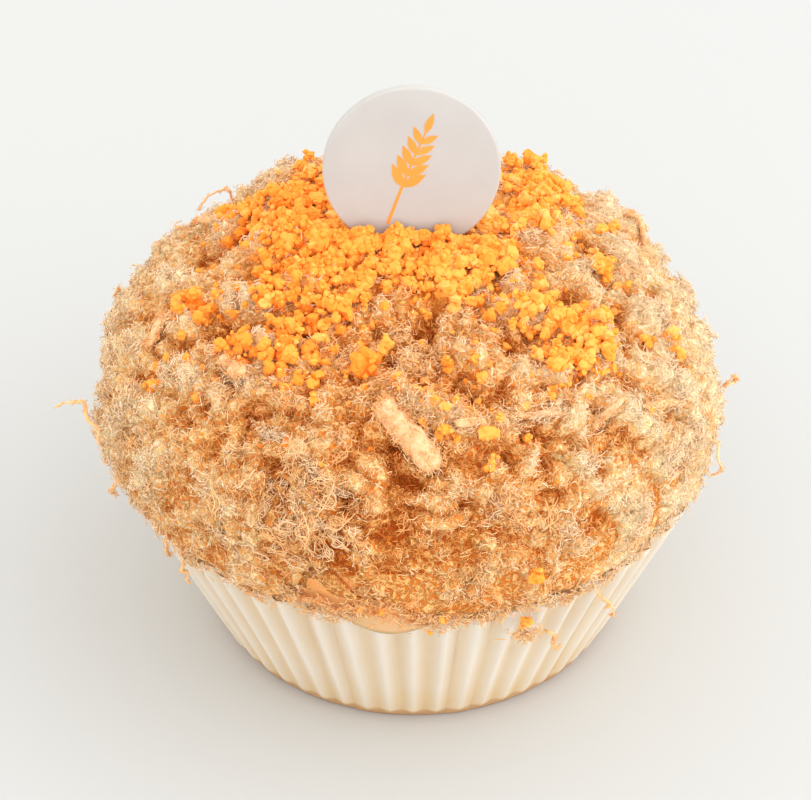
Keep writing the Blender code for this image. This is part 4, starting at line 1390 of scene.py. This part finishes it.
for number, outline in enumerate(print_outlines):
    start = sum(len(points) for points in print_points)
    count = len(outline)
    low = np.column_stack([outline, np.full(count, half - 0.01 * MM)])
    high = np.column_stack([outline, np.full(count, half + PRINT_THICKNESS * (1 + 0.1 * number))])
    print_points += [low, high]
    ring = start + np.arange(count)
    print_faces.append(tuple(ring[::-1]))
    print_faces.append(tuple(ring + count))
    turned = start + (np.arange(count) + 1) % count
    print_faces += np.stack([ring, turned, turned + count, ring + count], axis=1).tolist()
print_mesh = bpy.data.meshes.new("plate_print")
print_mesh.from_pydata(placed(np.concatenate(print_points), plate_place), [], print_faces)
ear = bpy.data.objects.new("plate_print", print_mesh)
bpy.context.scene.collection.objects.link(ear)
look, tree, shader = plain_material("orange_food_colour", 0.45)
cloud = noise_of(tree, object_places(tree), 5 * MM)
coloured(tree, shader, cloud, ((0.3, PRINT_ORANGE), (0.7, PRINT_LIGHT)))
ear.data.materials.append(look)
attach(ear, "root")

# Yolk crumbs: salted egg yolk, cooked dry and rubbed through a coarse sieve, 1 to 4 mm.
# Each is a knobbly cluster of small grains. They lie in heaps round the plate, thrown on last.
# Middle x and y, spread in x and y, in mm, and number of crumbs.
CRUMB_HEAPS = (
    (-15.0, 10.0, 4.2, 8.0, 202),
    (-21.5, 13.0, 2.5, 2.2, 27),
    (-9.5, 1.0, 6.0, 3.6, 162),
    (0.5, -3.2, 5.5, 3.4, 101),
    (4.0, -7.0, 4.0, 2.4, 40),
    (-14.5, -6.0, 4.0, 4.0, 81),
    (-12.0, -12.0, 4.0, 2.8, 51),
    (-15.0, -18.0, 2.4, 2.2, 32),
    (-21.8, -16.5, 2.0, 1.3, 16),
    (-27.5, -6.0, 2.4, 1.8, 18),
    (10.5, 4.0, 2.2, 3.6, 56),
    (16.0, 13.0, 3.4, 5.0, 114),
    (15.0, 21.0, 4.0, 3.5, 60),
    (8.5, -2.5, 3.4, 3.0, 38),
    (18.0, -11.5, 4.0, 1.8, 54),
    (21.5, -15.0, 2.6, 2.8, 62),
    (17.5, -19.0, 1.6, 2.0, 16),
    (13.5, -9.0, 3.5, 3.0, 21),
    (24.5, 0.5, 2.0, 1.2, 12),
    (33.0, -9.5, 1.2, 1.0, 6),
    (0.0, 17.0, 9.0, 5.0, 121),
    (-6.0, 26.0, 7.0, 4.0, 40),
    (0.0, 0.0, 19.0, 19.0, 94),
    (2.0, -26.0, 12.0, 6.0, 35),
    (2.5, 1.6, 6.0, 1.6, 70),
    (-28.0, -14.0, 5.0, 10.0, 13),
)
CRUMB_WIDTHS = (0.9, 2.5)
# Place x and y and width in mm, and tone.
BIG_CRUMBS = (
    (-6.0, -20.3, 4.2, 0.3),
    (-16.5, -17.5, 3.0, 0.3),
    (-17.0, -14.5, 2.6, 0.22),
    (2.3, -27.2, 1.9, 0.75),
    (30.5, -9.5, 2.2, 0.6),
    (24.5, 1.0, 2.6, 0.55),
    (-27.5, -6.0, 2.8, 0.5),
    (-34.0, 4.5, 1.8, 0.5),
    (9.0, 27.0, 2.4, 0.6),
    (-8.0, 30.0, 2.2, 0.5),
    (27.0, 14.0, 2.0, 0.6),
    (-2.0, -4.5, 3.0, 0.85),
    (3.5, -5.0, 3.0, 0.8),
    (-12.5, -3.0, 2.8, 0.75),
)
# Direction in degrees, distance from the axis, height and width in mm, and tone.
LOW_CRUMBS = (
    (-68.7, 41.0, 34.3, 2.1, 0.3),
    (-99.9, 39.7, 30.2, 0.9, 0.8),
    (-96.0, 39.8, 29.9, 1.0, 0.7),
    (-85.2, 40.2, 29.0, 1.0, 0.75),
    (-87.2, 39.8, 26.6, 0.8, 0.6),
    (-69.4, 39.9, 26.2, 1.8, 0.7),
)
HIGHEST_LAYER = 1.2
PILE_AT_PLATE = 1.4
GRIT_ON_CRUMBS = 2600
GRIT_PER_CRUMB = 0.9
GRIT_WIDTHS = (0.35, 0.9)
CRUMBS_WITHIN = 37
GRIT_WITHIN = 38
TOUCHING = 0.42
GRAIN_COLUMNS = 6
GRAIN_ROWS = 3

draw = np.random.RandomState(91)
kept = [np.array(BIG_CRUMBS)]
for x, y, spread_x, spread_y, wanted in CRUMB_HEAPS:
    spots = draw.normal(size=(wanted, 2)) * (spread_x, spread_y) * 0.8 + (x, y)
    widths = draw.triangular(CRUMB_WIDTHS[0], 1.3, CRUMB_WIDTHS[1], wanted)
    kept.append(np.column_stack([spots, widths, draw.normal(0.66, 0.16, wanted)]))
crumbs = np.concatenate(kept)
crumbs = crumbs[np.hypot(crumbs[:, 0], crumbs[:, 1]) < CRUMBS_WITHIN]
layer = np.zeros(len(crumbs))
for one in range(1, len(crumbs)):
    gap = np.hypot(*(crumbs[:one, :2] - crumbs[one, :2]).T)
    reach = TOUCHING * (crumbs[:one, 2] + crumbs[one, 2])
    under = gap < reach
    if under.any():
        layer[one] = (layer[:one] + reach)[under].max()
at_plate = bell(crumbs[:, 0] - 1.0, 7) * bell(crumbs[:, 1] - 2.0, 3)
layer = np.minimum(layer, HIGHEST_LAYER + PILE_AT_PLATE * at_plate)
crumb_points, crumb_normals = coat_over(crumbs[:, 0], crumbs[:, 1])
crumb_widths = crumbs[:, 2] * MM
crumb_points = crumb_points + crumb_normals * (layer * MM + 0.1 * crumb_widths)[:, None]
crumb_points = crumb_points - crumb_normals * (0.6 * YOLK_BED * dusting(crumb_points))[:, None]
plate_axis = np.array(plate_place.to_3x3() @ Vector((0, 0, 1)))
from_plate = (crumb_points - np.array(PLATE_CENTRE)) @ plate_axis
clear_of_plate = PLATE_THICKNESS * 0.85 + crumb_widths / 2
in_slot = (np.abs(from_plate) < clear_of_plate) & (np.abs(crumb_points[:, 0]) < PLATE_RADIUS)
push = np.where(in_slot, np.sign(from_plate) * (clear_of_plate - np.abs(from_plate)), 0)
crumb_points = crumb_points + plate_axis * push[:, None]
low = np.array(LOW_CRUMBS)
low_points = ring_points(np.radians(low[:, 0]), low[:, 1] * MM, low[:, 2] * MM)
crumb_points = np.concatenate([crumb_points, low_points])
crumb_widths = np.concatenate([crumb_widths, low[:, 3] * MM])
crumb_tones = np.concatenate([crumbs[:, 3], low[:, 4]])


yolk_look, tree, shader = plain_material("dry_yolk", 0.6)
coloured(
    tree,
    shader,
    tone_of_map(tree),
    (
        (0.0, (250, 134, 48)),
        (0.3, (255, 152, 56)),
        (0.6, (255, 169, 70)),
        (0.85, (255, 179, 84)),
        (1.0, (255, 190, 106)),
    ),
)
shader.inputs["Specular IOR Level"].default_value = 0.15


def grains(name, centres, widths, tones, columns, rows, seed):
    """Rough grains with flat faces in one piece, from nearly round to boxy.

    A grain's radius is one over the p-norm of its direction, which squares it, times noise
    for each point. Each is stretched and turned at random.
    """
    draw = np.random.RandomState(seed)
    count = len(centres)
    latitude = (np.arange(rows) + 1) / (rows + 1) * np.pi - np.pi / 2
    turn = np.arange(columns) * 2 * np.pi / columns
    across, up = np.cos(latitude)[:, None], np.sin(latitude)[:, None]
    around_axis = np.broadcast_arrays(across * np.cos(turn), across * np.sin(turn), up)
    sphere = np.stack(around_axis, axis=-1).reshape(-1, 3)
    sphere = np.concatenate([sphere, [(0, 0, -1)], [(0, 0, 1)]])
    boxiness = draw.uniform(2.0, 4.6, (count, 1))
    radius = (np.abs(sphere)[None] ** boxiness[..., None]).sum(axis=-1) ** (-1 / boxiness)
    radius = radius * draw.uniform(0.72, 1.22, radius.shape)
    shape = sphere[None] * radius[..., None] * draw.uniform(0.72, 1.25, (count, 1, 3))
    first = unit(draw.normal(size=(count, 3)))
    second = unit(np.cross(first, draw.normal(size=(count, 3))))
    axes = np.stack([first, second, np.cross(first, second)], axis=1)
    points = np.einsum("nki,nij->nkj", shape, axes) * (widths / 2)[:, None, None] + centres[:, None]
    rings = points[:, :-2].reshape(count, rows, columns, 3)
    made = ringed_many(name, rings, points[:, -2], points[:, -1], tones)
    made.data.shade_flat()
    made.data.materials.append(yolk_look)


draw = np.random.RandomState(92)
crumb_size = crumb_widths / MM
how_big = np.clip((crumb_size - 1.6) / 2, 0, 1)
grain_count = np.clip((1 + 0.85 * crumb_size**1.9 + 8 * how_big).astype(int), 2, 30)
owner = np.repeat(np.arange(len(crumb_size)), grain_count)
is_heart = np.concatenate([[True], owner[1:] != owner[:-1]])
direction = unit(draw.normal(size=(len(owner), 3)))
flatten = draw.uniform(0.7, 1.15, (len(crumb_size), 3))[owner]
big = how_big[owner]
offset = np.where(is_heart, 0, draw.uniform(0.28, 0.38, len(owner)) + 0.04 * big)
offset = offset * crumb_widths[owner]
outer_share = draw.uniform(0.34, 0.6, len(owner)) - 0.08 * big
grain_width = crumb_widths[owner] * np.where(is_heart, 0.84 - 0.24 * big, outer_share)
# Painted light and shade: grains on the upper side of a crumb are lighter and lower ones more orange,
# and crumbs towards the right, where the light comes from, are lighter.
grain_tone = crumb_tones[owner] + draw.normal(0, 0.05, len(owner)) + 0.05 * direction[:, 2]
grain_tone = grain_tone + 0.12 * np.clip(crumb_points[owner, 0] / (15 * MM), -1, 1)
grains(
    "yolk_crumbs",
    crumb_points[owner] + direction * flatten * offset[:, None],
    grain_width,
    np.clip(grain_tone, 0.02, 0.98),
    GRAIN_COLUMNS,
    GRAIN_ROWS,
    93,
)
on_crumb = draw.randint(0, len(crumb_points), GRIT_ON_CRUMBS)
grit_out = unit(draw.normal(size=(GRIT_ON_CRUMBS, 3)) + (0, 0, 0.6))
reach = draw.uniform(0.42, 0.56, GRIT_ON_CRUMBS) * crumb_widths[on_crumb]
heaps = np.array(CRUMB_HEAPS)
heaps = np.repeat(heaps, (heaps[:, 4] * GRIT_PER_CRUMB).astype(int), axis=0)
spots = heaps[:, :2] + draw.normal(size=(len(heaps), 2)) * heaps[:, 2:4] * 0.9
spots = spots[np.hypot(spots[:, 0], spots[:, 1]) < GRIT_WITHIN]
ground, ground_normals = coat_over(spots[:, 0], spots[:, 1])
ground = ground + ground_normals * (draw.uniform(0.0, 0.5, len(spots)) * MM)[:, None]
grit_places = np.concatenate([crumb_points[on_crumb] + grit_out * reach[:, None], ground])
grains(
    "yolk_grit",
    grit_places,
    draw.uniform(*GRIT_WIDTHS, len(grit_places)) * MM,
    np.clip(draw.normal(0.55, 0.2, len(grit_places)), 0.02, 0.98),
    5,
    2,
    94,
)

# Floor and light: a plain pale card. A large soft window light comes from high on the right,
# a low one beside it and one from the front open the shadows, and the white room fills the rest.
CARD_WHITE = (193, 195, 195)
CARD_HALF = 3
ROOM_COLOUR = (1.0, 0.975, 0.94, 1)
ROOM_STRENGTH = 1.45
DAYLIGHT = (0.96, 1.0, 1.05)
card_mesh = bpy.data.meshes.new("floor_card")
card_corners = [(CARD_HALF * x, CARD_HALF * y, 0) for x, y in ((-1, -1), (1, -1), (1, 1), (-1, 1))]
card_mesh.from_pydata(card_corners, [], [(0, 1, 2, 3)])
card = bpy.data.objects.new("floor_card", card_mesh)
card.location.z = -0.05 * MM
bpy.context.scene.collection.objects.link(card)
look, tree, shader = plain_material("white_card", 0.8)
shader.inputs["Base Color"].default_value = eye_colour(*CARD_WHITE)
card.data.materials.append(look)

world = bpy.data.worlds.new("white_room")
world.use_nodes = True
room = world.node_tree.nodes["Background"]
room.inputs["Color"].default_value = ROOM_COLOUR
room.inputs["Strength"].default_value = ROOM_STRENGTH
bpy.context.scene.world = world


def soft_light(name, place, size, power):
    """A square area light that shines at the bun."""
    lamp = bpy.data.lights.new(name, "AREA")
    lamp.size = size
    lamp.energy = power
    lamp.color = DAYLIGHT
    made = bpy.data.objects.new(name, lamp)
    made.location = Vector(place)
    made.rotation_euler = (LOOK_AT - made.location).to_track_quat("-Z", "Y").to_euler()
    bpy.context.scene.collection.objects.link(made)


soft_light("window", (0.75, -0.05, 0.8), 1.4, 2.4)
soft_light("side_fill", (0.75, -0.3, 0.22), 0.8, 2.8)
soft_light("front_fill", (-0.1, -0.85, 0.5), 0.9, 1.7)
